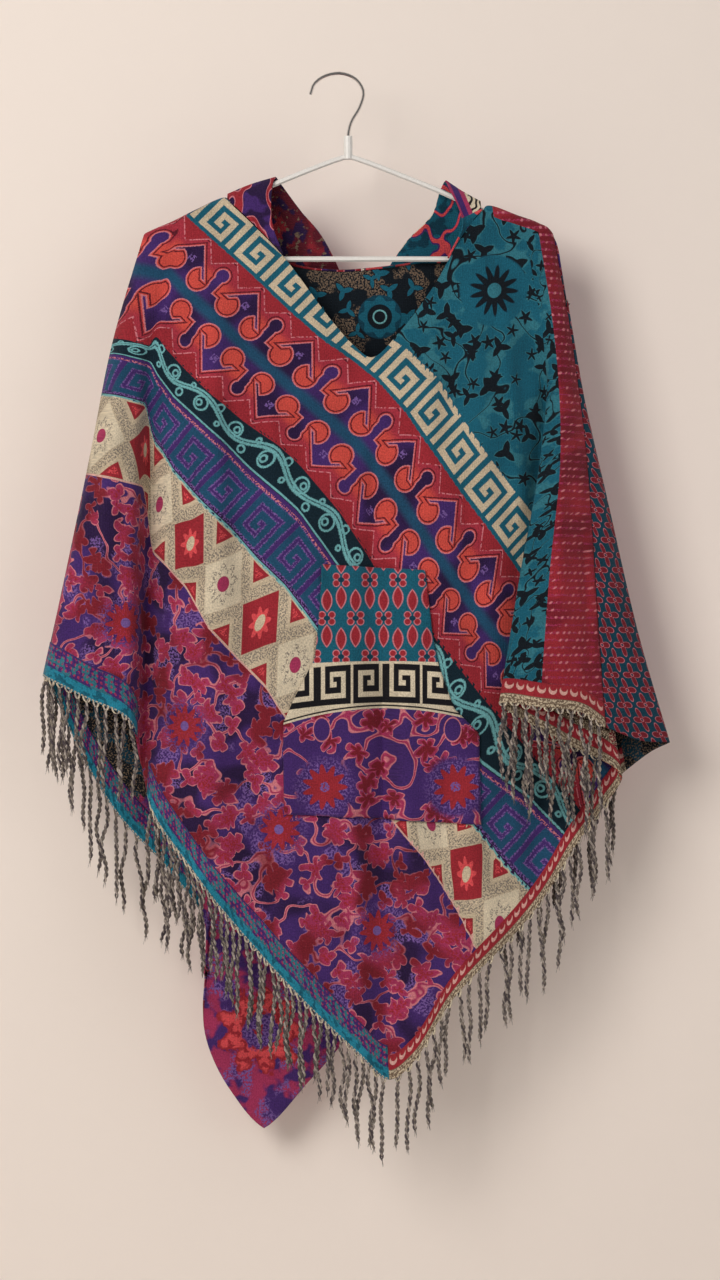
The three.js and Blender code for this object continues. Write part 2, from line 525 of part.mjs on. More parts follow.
// The pocket: its grid follows the front's folds, is laid on the front and moved out.
function pocketWall(front) {
  const side = (down, edge) => {
    const { sides } = POCKET;
    let i = 0;
    while (i < sides.length - 2 && down > sides[i + 1].down) i += 1;
    const u = (down - sides[i].down) / (sides[i + 1].down - sides[i].down);
    return sides[i][edge] + u * (sides[i + 1][edge] - sides[i][edge]);
  };
  const [top, bottom] = [POCKET.sides[0].down, POCKET.sides[POCKET.sides.length - 1].down];
  const [firstFold, lastFold] = POCKET.innerFolds;
  const inner = columnsOf(firstFold, lastFold, 2);
  const grid = Array.from({ length: POCKET.rows + 1 }, (_, r) => {
    const b = r / POCKET.rows;
    const level = top + b * (bottom - top);
    const tilted = (across) => level + POCKET.slope * (across - POCKET.middle);
    const [left, right] = ["left", "right"].map((edge) => {
      const across = side(level, edge);
      return front.find(across, tilted(across), [POCKET.guess[edge], (level - POCKET.guess.top) / POCKET.guess.fall]);
    });
    const places = [left[0], 0.5 * (left[0] + inner[0]), ...inner, 0.5 * (right[0] + lastFold), right[0]];
    return places.map((s, c) => {
      let t = left[1];
      for (let i = 0; i < SEARCH.levelSteps; i += 1) {
        const p = front.at(s, t);
        t += (HOOK.down - tilted(p.x + HOOK.across) - p.z) / (front.at(s, 1).z - front.at(s, 0).z);
      }
      const a = c / (places.length - 1);
      const bulge = POCKET.bulge * Math.sqrt(Math.sin(Math.PI * a) * Math.sin(Math.PI * b));
      return front.at(s, t).addScaledVector(front.normal(s, t), CLOTH.wall + POCKET.gap + bulge);
    });
  });
  return wallOf(grid);
}

function hangerFrame() {
  const { left, leftEnd, bar, rightEnd, right } = HANGER;
  const route = [...left, ...leftEnd, ...bar, ...rightEnd, ...right].map(([down, across]) => place([down, across, 0]));
  const { across, top, bottom, radius, bore, boreDepth, sides } = HANGER.collar;
  const upright = (r, from, to) =>
    new THREE.CylinderGeometry(r, r, to - from, sides)
      .rotateX(Math.PI / 2)
      .translate(across - HOOK.across, 0, HOOK.down - (from + to) / 2);
  const wire = solidOf(rod(route, HANGER.wire, HANGER.sides, HANGER.steps));
  const collar = solidOf(upright(radius, top, bottom));
  const socket = solidOf(upright(bore, top - 1, top + boreDepth));
  return geometryOf(wire.add(collar).subtract(socket));
}

const hangerHook = () =>
  rod(
    HANGER_HOOK.route.map(([down, across]) => place([down, across, 0])),
    HANGER_HOOK.wire,
    HANGER_HOOK.sides,
    HANGER_HOOK.steps,
  );

const poncho = new THREE.Group();
const piece = (name, geometry, material) => {
  const mesh = new THREE.Mesh(geometry, material);
  mesh.name = name;
  poncho.add(mesh);
};

const sheets = {
  front: new Sheet(FRONT_FOLDS, 1, FRONT_FOLDS.length),
  back: new Sheet(BACK_FOLDS, -1, BACK_ROUNDS_FROM),
};
piece("front_panel", panel(sheets.front, GRID.frontRows, FRONT_BARE_HEM), finish(COLOURS.front, 0.9));
piece("back_panel", panel(sheets.back, GRID.backRows, BACK_BARE_HEM), finish(COLOURS.back, 0.9));
piece("hood_left", hoodHalf(sheets, HOOD.left), finish(COLOURS.hood, 0.9));
piece("hood_right", hoodHalf(sheets, HOOD.right), finish(COLOURS.hood, 0.9));
piece("pocket", pocketWall(sheets.front), finish(COLOURS.pocket, 0.9));
FRINGES.forEach((stretch, i) => {
  const colour = stretch.name.includes("left") ? COLOURS.teal : COLOURS.tan;
  piece(stretch.name, fringe(sheets[stretch.sheet], stretch, 100 * i), finish(colour, 0.9));
});
piece("hanger_frame", hangerFrame(), finish(COLOURS.coat, 0.35));
piece("hanger_hook", hangerHook(), finish(COLOURS.chrome, 0.2, 1));

export default poncho;
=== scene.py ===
import logging
import math
from dataclasses import dataclass
from enum import Enum
from typing import Callable, Sequence

import bmesh
import bpy
import numpy as np
from mathutils.bvhtree import BVHTree
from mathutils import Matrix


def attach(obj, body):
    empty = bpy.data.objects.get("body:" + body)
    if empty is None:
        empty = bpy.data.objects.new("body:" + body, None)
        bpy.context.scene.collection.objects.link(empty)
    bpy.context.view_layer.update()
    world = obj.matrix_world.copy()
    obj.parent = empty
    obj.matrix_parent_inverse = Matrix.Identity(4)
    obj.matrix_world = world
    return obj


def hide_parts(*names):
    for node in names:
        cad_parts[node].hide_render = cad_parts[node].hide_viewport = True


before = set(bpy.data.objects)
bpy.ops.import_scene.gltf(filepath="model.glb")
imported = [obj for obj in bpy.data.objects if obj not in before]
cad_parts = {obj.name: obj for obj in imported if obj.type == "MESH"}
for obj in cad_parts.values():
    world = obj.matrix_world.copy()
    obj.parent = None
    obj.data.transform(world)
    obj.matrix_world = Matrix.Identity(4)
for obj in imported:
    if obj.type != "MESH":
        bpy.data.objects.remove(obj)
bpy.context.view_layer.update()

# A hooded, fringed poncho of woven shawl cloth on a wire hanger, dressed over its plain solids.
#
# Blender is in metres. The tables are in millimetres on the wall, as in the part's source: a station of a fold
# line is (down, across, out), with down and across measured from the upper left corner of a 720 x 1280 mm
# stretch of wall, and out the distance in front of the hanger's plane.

LOG = logging.getLogger("poncho")

MM = 0.001
HOOK_ACROSS, HOOK_DOWN = 341.0, 71.0

Station = tuple[float, float, float]
Rgb = tuple[float, float, float]
Paint = tuple[float, float, float, float]
Array = np.ndarray
Material, Piece, Socket = bpy.types.Material, bpy.types.Object, bpy.types.NodeSocket


class Side(Enum):
    """Which side of the hanger's plane a panel hangs on."""

    FRONT = 1
    BACK = -1


@dataclass(frozen=True)
class Fold:
    """One fold line of a panel, from its top edge to the hem."""

    name: str
    roll: float
    at: tuple[Station, ...]


RIGHT_SEAM: tuple[Station, ...] = (
    (311, 568, 3), (352, 574, 5), (443, 585, 13), (521, 591, 20), (593, 595, 25), (727, 604, 30),
)

FRONT_FOLDS: tuple[Fold, ...] = (
    Fold("left side", 0, ((232, 143, 0), (343, 111, 0), (454, 89, 0), (565, 66, 0), (676, 42, 0))),
    Fold("left side roll", 0.7, ((229, 149, 0), (343, 116, 7), (454, 95, 11), (565, 72, 15), (679, 49, 19))),
    Fold("left sleeve crest", 1, ((225, 158, 0), (343, 127, 13), (460, 111, 23), (580, 98, 29), (698, 88, 33))),
    Fold("left sleeve edge", 1, ((221, 168, 0), (345, 141, 11), (470, 134, 21), (595, 131, 27), (719, 129, 31))),
    Fold("left valley", 1, ((216, 179, 0), (345, 153, 4), (470, 147, 3), (610, 144, 2), (768, 141, 1))),
    Fold("left valley rise", 1, ((211, 190, 0), (350, 173, 9), (480, 170, 13), (620, 166, 15), (813, 154, 17))),
    Fold("left chest", 1, ((203, 205, 0), (365, 197, 21), (530, 195, 27), (695, 190, 31), (864, 190, 34))),
    Fold("left neck point", 1, ((195.5, 224, 0), (370, 223, 23), (550, 225, 30), (725, 221, 35), (902, 218, 37))),
    Fold("left vee top", 0, ((200.5, 229, 5.5), (383, 247, 25), (563, 250, 31), (745, 246, 36), (930, 241, 38))),
    Fold("left vee", 0, ((254, 282, 9), (420, 281, 26), (590, 280, 32), (770, 275, 38), (958, 266, 40))),
    Fold("left vee foot", 0, ((318, 330, 13), (480, 331, 29), (650, 330, 33), (830, 322, 37), (1009, 314, 40))),
    Fold("centre left ridge", 0, ((345, 354, 14), (520, 355, 28), (700, 355, 34), (880, 353, 38), (1050, 357, 38))),
    Fold("centre valley", 0, ((357, 372, 15), (540, 376, 25), (720, 380, 23), (900, 381, 21), (1078, 389, 30))),
    Fold("centre right ridge", 0, ((331, 400, 14), (500, 403, 28), (680, 405, 34), (860, 408, 37), (1060, 413, 36))),
    Fold("right vee", 0, ((285, 434, 11), (450, 440, 28), (620, 446, 34), (800, 454, 36), (999, 451, 36))),
    Fold("right neck", 0, ((232, 464, 6), (400, 480, 24), (570, 492, 27), (740, 502, 26), (928, 519, 25))),
    Fold("right vee top", 0, ((208, 484, 5.5), (380, 500, 18), (540, 514, 18), (700, 526, 17), (893, 547, 17))),
    Fold("right neck point", 1, ((203.5, 489, 0), (370, 514, 13), (530, 530, 11), (690, 549, 9), (850, 573, 10))),
    Fold("tuck in", 1, ((208, 502, 0), (370, 529, 8), (500, 556, 4), (650, 584, 4), (807, 604, 6))),
    Fold("tuck turn", 1, ((211, 512, 0), (365, 538, 6), (480, 567, 8), (630, 598, 10), (776, 621, 12))),
    Fold("tuck back", 1, ((214, 520, 0), (355, 544, 8), (465, 557, 19), (600, 566, 24), (743, 566, 27))),
    Fold("sleeve fold", 1, ((217, 529, 0), (345, 549, 12), (455, 541, 28), (580, 519, 38), (703, 499, 42))),
    Fold("sleeve front", 1, ((221, 539, 0), (350, 557, 17), (460, 561, 34), (580, 551, 46), (707, 543, 50))),
    Fold("sleeve side", 0.8, ((225, 548, 0), (350, 567, 12), (465, 576, 26), (590, 577, 36), (712, 580, 41))),
    Fold("right seam", 0, ((232, 554, 0), (285, 563.5, 0), (300, 566, 0.8)) + RIGHT_SEAM),
)

BACK_FOLDS: tuple[Fold, ...] = (
    Fold("left side", 0, ((232, 143, 0), (343, 111, 0), (454, 89, 0), (565, 66, 0), (676, 42, 0))),
    Fold("left side roll", 0.7, ((229, 149, 0), (343, 117, -7), (454, 96, -11), (565, 73, -14), (699, 52, -16))),
    Fold("left arm", 1, ((225, 158, 0), (350, 130, -12), (480, 112, -18), (600, 98, -20), (760, 79, -22))),
    Fold("left arm valley", 1, ((219, 172, 0), (370, 155, -14), (520, 146, -20), (670, 136, -22), (820, 116, -24))),
    Fold("left shoulder blade", 1,
         ((207, 196, 0), (380, 188, -18), (550, 182, -26), (710, 172, -32), (872, 163, -32))),
    Fold("left neck point", 1, ((195.5, 224, 0), (390, 216, -20), (580, 210, -26), (760, 203, -30), (925, 201, -30))),
    Fold("left neck top", 0, ((201, 229, -5.5), (395, 228, -21), (590, 220, -27), (780, 212, -32), (975, 203, -32))),
    Fold("left neck", 0, ((237, 250, -7), (430, 246, -22), (630, 236, -30), (840, 222, -36), (1040, 202, -34))),
    Fold("left neck foot", 0, ((261, 288, -10), (480, 280, -23), (690, 268, -28), (900, 252, -32), (1098, 228, -34))),
    Fold("back point", 0, ((268, 335, -12), (490, 322, -25), (700, 304, -32), (920, 284, -38), (1131, 262, -40))),
    Fold("back centre", 0, ((267, 362, -12), (490, 356, -25), (700, 345, -29), (900, 330, -33), (1085, 312, -36))),
    Fold("back right ridge", 0,
         ((264, 390, -12), (470, 390, -26), (680, 386, -32), (870, 380, -36), (1022, 368, -36))),
    Fold("right neck foot", 0, ((260, 420, -11), (450, 428, -24), (640, 432, -27), (800, 436, -29), (955, 438, -30))),
    Fold("right neck", 0, ((257, 450, -10), (430, 468, -22), (600, 480, -28), (750, 492, -30), (895, 500, -28))),
    Fold("right nape", 0, ((228, 472, -5), (400, 498, -19), (560, 520, -23), (700, 540, -24), (845, 553, -24))),
    Fold("right neck top", 0,
         ((208.5, 484, -5.5), (385, 511, -18), (540, 535, -22), (680, 557, -23), (820, 577, -22))),
    Fold("right neck point", 1,
         ((203.5, 489, 0), (370, 524, -15), (520, 550, -21), (660, 575, -22), (798, 601, -20))),
    Fold("right shoulder blade", 1,
         ((213, 518, 0), (370, 549, -12), (510, 576, -17), (640, 604, -18), (772, 630, -16))),
    Fold("right arm", 1, ((223, 543, 0), (370, 567, -8), (500, 597, -12), (630, 627, -13), (752, 656, -11))),
    Fold("right side roll", 0.3, ((238, 556, 0), (370, 577, -4), (500, 606, -6), (630, 636, -7), (745, 669, -5))),
    Fold("right side", 0, ((290, 565.2, 0), (385, 582.5, 0), (500, 608, 1), (630, 638, 1), (743, 671, 1))),
    Fold("side strip", 0, ((305, 569.3, 0.6), (390, 583, 4.5), (500, 602, 12), (620, 619, 17), (741, 643, 17))),
    Fold("right seam", 0, tuple((down, across + 0.9, out - 0.4) for down, across, out in RIGHT_SEAM)),
)

HOOD_LEFT_RIBS: tuple[tuple[Station, ...], ...] = (
    ((203.5, 230.5, 7), (199, 229, 6.5), (195.5, 228, 5), (191.5, 227, 0), (196, 226, -8), (215, 226, -19),
     (262, 226, -30), (330, 232, -38), (400, 246, -44), (440, 262, -43), (400, 250, -38), (330, 238, -32),
     (262, 233, -24), (218, 231, -15), (205, 230, -7)),
    ((227, 255, 8), (212, 253, 9), (192, 251, 6), (182, 250, 0), (187, 251, -9), (205, 257, -18),
     (245, 272, -28), (320, 290, -42), (430, 305, -50), (472, 312, -46), (430, 306, -40), (330, 292, -33),
     (275, 282, -24), (250, 270, -16), (245, 264, -9)),
    ((252, 282, 10), (222, 272, 11), (184, 272, 8), (174.5, 275, 0), (181, 281, -8), (206, 300, -14),
     (232, 322, -20), (290, 348, -32), (400, 361, -50), (482, 361, -47), (400, 361, -41), (330, 361, -33),
     (285, 361, -24), (269, 361, -18), (265.5, 361, -12.5)),
)
HOOD_RIGHT_RIBS: tuple[tuple[Station, ...], ...] = (
    ((212, 482, 7), (207, 482, 6.5), (203, 481, 5), (199, 481, 0), (203, 482, -8), (220, 484, -18),
     (262, 488, -30), (330, 482, -38), (400, 470, -44), (440, 458, -43), (400, 466, -38), (330, 476, -32),
     (262, 480, -24), (226, 480, -15), (211, 479.5, -6)),
    ((231, 465, 8), (220, 466, 9), (197, 465, 6), (189, 463, 0), (193, 461, -9), (208, 452, -18),
     (245, 440, -28), (320, 430, -42), (430, 418, -50), (472, 412, -46), (430, 416, -40), (330, 430, -33),
     (275, 440, -24), (252, 446, -16), (246, 455, -9)),
    ((256, 450, 10), (222, 463, 12), (187, 450, 8), (178, 446, 0), (186, 441, -8), (210, 433, -14),
     (238, 406, -20), (290, 376, -32), (400, 362.6, -50), (482, 362.6, -47), (400, 362.6, -41), (330, 362.6, -33),
     (284, 362.6, -24), (268, 362.6, -18), (264.5, 362.6, -12.5)),
)


@dataclass(frozen=True)
class Crease:
    """A soft trough (depth below 0) or ridge, from one place on the wall to another, bowed sideways."""

    start: tuple[float, float]
    end: tuple[float, float]
    bow: float
    width: float
    depth: float


FRONT_CREASES: tuple[Crease, ...] = (
    Crease((206, 262), (214, 640), 7, 13, 2.6),
    Crease((232, 330), (262, 700), -9, 17, -3.2),
    Crease((262, 300), (300, 610), -8, 12, 2.2),
    Crease((180, 420), (203, 760), 6, 10, -3.0),
    Crease((216, 620), (226, 905), -6, 15, 2.8),
    Crease((252, 730), (262, 965), 5, 12, -2.7),
    Crease((300, 690), (292, 1000), -8, 15, 2.4),
    Crease((338, 800), (342, 1046), 4, 11, -2.6),
    Crease((372, 420), (366, 640), 5, 9, -2.2),
    Crease((318, 500), (330, 660), -6, 10, 1.8),
    Crease((430, 330), (418, 560), 6, 12, 2.4),
    Crease((408, 640), (414, 900), -5, 9, 2.6),
    Crease((440, 700), (432, 1010), 7, 12, -2.8),
    Crease((468, 420), (486, 700), -8, 13, -2.6),
    Crease((498, 320), (520, 560), 6, 9, 2.2),
    Crease((470, 760), (492, 960), -6, 11, 2.6),
    Crease((512, 640), (536, 900), 5, 10, -2.4),
    Crease((476, 232), (520, 330), -5, 9, 1.6),
    Crease((300, 310), (352, 372), 3, 7, 1.2),
    Crease((388, 372), (452, 312), -3, 7, 1.2),
    Crease((120, 330), (104, 560), 4, 9, 2.0),
    Crease((128, 470), (118, 700), -3, 7, -1.8),
    Crease((98, 500), (66, 672), 4, 9, -2.0),
    Crease((548, 300), (534, 520), 4, 8, -1.8),
    Crease((560, 380), (562, 690), -4, 9, 2.2),
    Crease((528, 560), (520, 700), 3, 8, -2.0),
    Crease((578, 500), (588, 712), 3, 7, -1.6),
    Crease((206, 470), (330, 640), 10, 14, 1.5),
    Crease((330, 880), (420, 960), -8, 16, -1.8),
    Crease((150, 340), (152, 790), -2, 11, -6.0),
    Crease((196, 560), (206, 850), 3, 14, 2.4),
    Crease((380, 600), (386, 940), 3, 10, -2.6),
)
BACK_CREASES: tuple[Crease, ...] = (
    Crease((170, 280), (150, 690), 8, 14, -3.0),
    Crease((208, 300), (196, 820), -7, 13, 3.0),
    Crease((240, 480), (224, 900), 8, 15, -3.2),
    Crease((286, 500), (262, 980), -9, 13, 3.0),
    Crease((318, 520), (300, 1060), 7, 16, -2.8),
    Crease((352, 500), (336, 1000), -6, 12, 2.8),
    Crease((398, 520), (384, 960), 8, 14, -3.2),
    Crease((430, 470), (432, 900), -7, 12, 2.8),
    Crease((470, 400), (488, 850), 6, 15, -3.0),
    Crease((505, 330), (545, 800), -6, 12, 2.6),
    Crease((540, 340), (600, 760), 5, 10, -2.4),
    Crease((132, 380), (100, 720), -5, 11, 2.4),
    Crease((104, 450), (76, 700), 4, 9, -2.0),
    Crease((590, 560), (640, 740), -4, 9, 1.8),
    Crease((420, 330), (300, 470), 8, 16, 1.8),
    Crease((230, 700), (360, 860), 10, 18, 1.8),
)


def wall_points(stations: Sequence[Sequence[float]] | Array) -> Array:
    """Turns (down, across, out) stations into points.

    Args:
        stations: the stations, in the last axis.

    Returns:
        The points in millimetres in the part's frame.
    """
    at = np.asarray(stations, float)
    return np.stack([at[..., 1] - HOOK_ACROSS, -at[..., 2], HOOK_DOWN - at[..., 0]], axis=-1)


def smooth(low: float, high: float, value: Array) -> Array:
    """A smooth step from 0 at low to 1 at high."""
    share = np.clip((value - low) / (high - low), 0, 1)
    return share * share * (3 - 2 * share)


def uneven(number: float) -> float:
    """An uneven number between -1 and 1 that is the same in each run, as in the part's source."""
    x = math.sin(number * 12.9898 + 4.1) * 43758.5453
    return 2 * (x - math.floor(x)) - 1


def along_fold(stations: Array, down: Array) -> Array:
    """Cubic through the stations of a fold line.

    Args:
        stations: rows of (down, across, out).
        down: the levels wanted.

    Returns:
        Rows of (down, across, out) at those levels.
    """
    knots = stations[:, 0]
    last = len(knots) - 1
    i = np.clip(np.searchsorted(knots, down, side="left") - 1, 0, last - 1)
    number = np.arange(last + 1)
    rise = stations[np.minimum(number + 1, last)] - stations[np.maximum(number - 1, 0)]
    slope = rise / rise[:, :1]
    a, b = stations[i], stations[i + 1]
    span = (knots[i + 1] - knots[i])[:, None]
    u = ((down - knots[i])[:, None]) / span
    value = a + (b - a) * (3 * u**2 - 2 * u**3)
    value += (u - 1) ** 2 * u * slope[i] * span + (u - 1) * u**2 * slope[i + 1] * span
    value[:, 0] = down
    return value


def between(p0: Array, p1: Array, p2: Array, p3: Array, u: Array) -> Array:
    """Centripetal Catmull-Rom between the second and third of four rows of points.

    Args:
        p0, p1, p2, p3: rows of points.
        u: the share of the way from p1 to p2.

    Returns:
        The points of the curve.
    """
    def root(a: Array, b: Array) -> Array:
        """The centripetal length of a chord."""
        return np.sqrt(np.maximum(np.linalg.norm(b - a, axis=-1, keepdims=True), 1e-3))

    d0, d1, d2 = root(p0, p1), root(p1, p2), root(p2, p3)
    chord = p2 - p1
    start = ((p1 - p0) / d0 - (p2 - p0) / (d0 + d1) + chord / d1) * d1
    end = (chord / d1 - (p3 - p1) / (d1 + d2) + (p3 - p2) / d2) * d1
    return p1 + start * u + (3 * chord - 2 * start - end) * u**2 + (start + end - 2 * chord) * u**3


def through(point_at: Callable[[int], Array], count: int, s: float) -> Array:
    """The smooth curve through a row of points.

    Args:
        point_at: gives each point, or a column of points, by its number.
        count: how many there are.
        s: the place on the curve, counted in points.

    Returns:
        The point or column at that place.
    """
    i = min(int(s), count - 2)
    p1, p2 = point_at(i), point_at(i + 1)
    p0 = point_at(i - 1) if i > 0 else 2 * p1 - p2
    p3 = point_at(i + 2) if i + 2 < count else 2 * p2 - p1
    return between(p0, p1, p2, p3, np.float64(s - i))


# ---------------------------------------------------------------------------------------------------------------
# Weave: arithmetic on a material's wires, and the charts of the shawl's bands


def paint(code: str) -> Paint:
    """A colour written as six hexadecimal digits, as the linear colour that the shader takes."""
    parts = [int(code[i : i + 2], 16) / 255 for i in (0, 2, 4)]
    linear = [p / 12.92 if p <= 0.04045 else ((p + 0.055) / 1.055) ** 2.4 for p in parts]
    return (linear[0], linear[1], linear[2], 1.0)


class Wire:
    """A number in a material's node tree, with arithmetic."""

    def __init__(self, tree: bpy.types.NodeTree, socket: Socket) -> None:
        """Keeps the tree and the socket that the number comes from."""
        self.tree, self.socket = tree, socket

    def do(self, operation: str, *others: "Wire | float") -> "Wire":
        """Adds a math node.

        Args:
            operation: the node's operation.
            others: its second and third inputs.

        Returns:
            Its result.
        """
        node = self.tree.nodes.new("ShaderNodeMath")
        node.operation = operation
        for slot, value in enumerate((self, *others)):
            if isinstance(value, Wire):
                self.tree.links.new(value.socket, node.inputs[slot])
            else:
                node.inputs[slot].default_value = float(value)
        return Wire(self.tree, node.outputs[0])

    def __add__(self, other: "Wire | float") -> "Wire":
        """Sum."""
        return self.do("ADD", other)

    def __sub__(self, other: "Wire | float") -> "Wire":
        """Difference."""
        return self.do("SUBTRACT", other)

    def __mul__(self, other: "Wire | float") -> "Wire":
        """Product."""
        return self.do("MULTIPLY", other)

    def __neg__(self) -> "Wire":
        """The number with its sign changed."""
        return self.do("MULTIPLY", -1.0)

    def abs(self) -> "Wire":
        """Size without sign."""
        return self.do("ABSOLUTE")

    def least(self, *others: "Wire | float") -> "Wire":
        """The smallest of this and others."""
        found = self
        for other in others:
            found = found.do("MINIMUM", other)
        return found

    def most(self, *others: "Wire | float") -> "Wire":
        """The largest of this and others."""
        found = self
        for other in others:
            found = found.do("MAXIMUM", other)
        return found

    def cell(self, pitch: float) -> "Wire":
        """The place within a repeat, from 0 to its pitch."""
        return self.do("DIVIDE", pitch).do("FRACT") * pitch

    def folded(self, pitch: float) -> "Wire":
        """The place within a mirrored repeat, from 0 to its pitch and back."""
        return self.do("PINGPONG", pitch)

    def sine(self, period: float) -> "Wire":
        """The sine of this over a period."""
        return (self * (2 * math.pi / period)).do("SINE")

    def inside(self, edge: float = 0.0, soft: float = 0.35) -> "Wire":
        """1 where this is below an edge and 0 above it, with a soft step of the cloth's own threads."""
        node = self.tree.nodes.new("ShaderNodeMapRange")
        node.interpolation_type = "SMOOTHSTEP"
        for slot, value in enumerate((None, edge - soft, edge + soft, 1.0, 0.0)):
            if value is not None:
                node.inputs[slot].default_value = value
        self.tree.links.new(self.socket, node.inputs[0])
        return Wire(self.tree, node.outputs[0])

    def beyond(self, edge: float, soft: float) -> "Wire":
        """1 where this is above an edge and 0 below it."""
        return (-(self - edge)).inside(0, soft)

    def line(self, width: float, soft: float = 0.35) -> "Wire":
        """1 on a line of this width along the places where this is 0."""
        return self.abs().inside(width / 2, soft)


def length_of(x: Wire, y: Wire) -> Wire:
    """The distance from the origin."""
    return (x * x + y * y).do("SQRT")


def box(x: Wire, y: Wire, left: float, right: float, low: float, high: float) -> Wire:
    """The distance to a box, below 0 inside it."""
    across = (x - (left + right) / 2).abs() - (right - left) / 2
    return across.most((y - (low + high) / 2).abs() - (high - low) / 2)


class Shade(Enum):
    """Colours of the yarns, as they show under the room's soft light."""

    TEAL = "0e5c72"
    TEAL_DEEP = "0a3d50"
    TEAL_PALE = "2c7180"
    STRIP = "17809a"
    INK = "0f1820"
    NAVY = "0d2430"
    PURPLE = "43266a"
    PLUM = "2a1640"
    LILAC = "75559a"
    RED = "9a1f2c"
    CRIMSON = "7a1626"
    CORAL = "d9444a"
    FLAME = "cf4438"
    ROSE = "a4283a"
    MAGENTA = "a32c58"
    PINK = "cf7680"
    BLUSH = "d8a49a"
    CREAM = "cbb99d"
    IVORY = "d6c8ae"
    STONE = "8a8074"
    SMOKE = "50474a"
    ASH = "aca096"
    TAUPE = "73604f"
    UMBER = "3a2a26"
    AQUA = "6fb0b4"
    BLUE = "1a4a6a"
    BLACK = "17151a"
    MAROON = "5a1424"

    @property
    def linear(self) -> Paint:
        """The linear colour."""
        return paint(self.value)


@dataclass(frozen=True)
class Leaf:
    """A lobed leaf scattered over a cloth, in millimetres; its lobes are pointed, or round where swing is below 0."""

    spacing: float
    lobes: int
    radius: float
    swing: float


DIAGONAL = 0.7071
NO_SOFTNESS = 0.0001
BAND_SOFTNESS = 0.004
TURN = 6.28


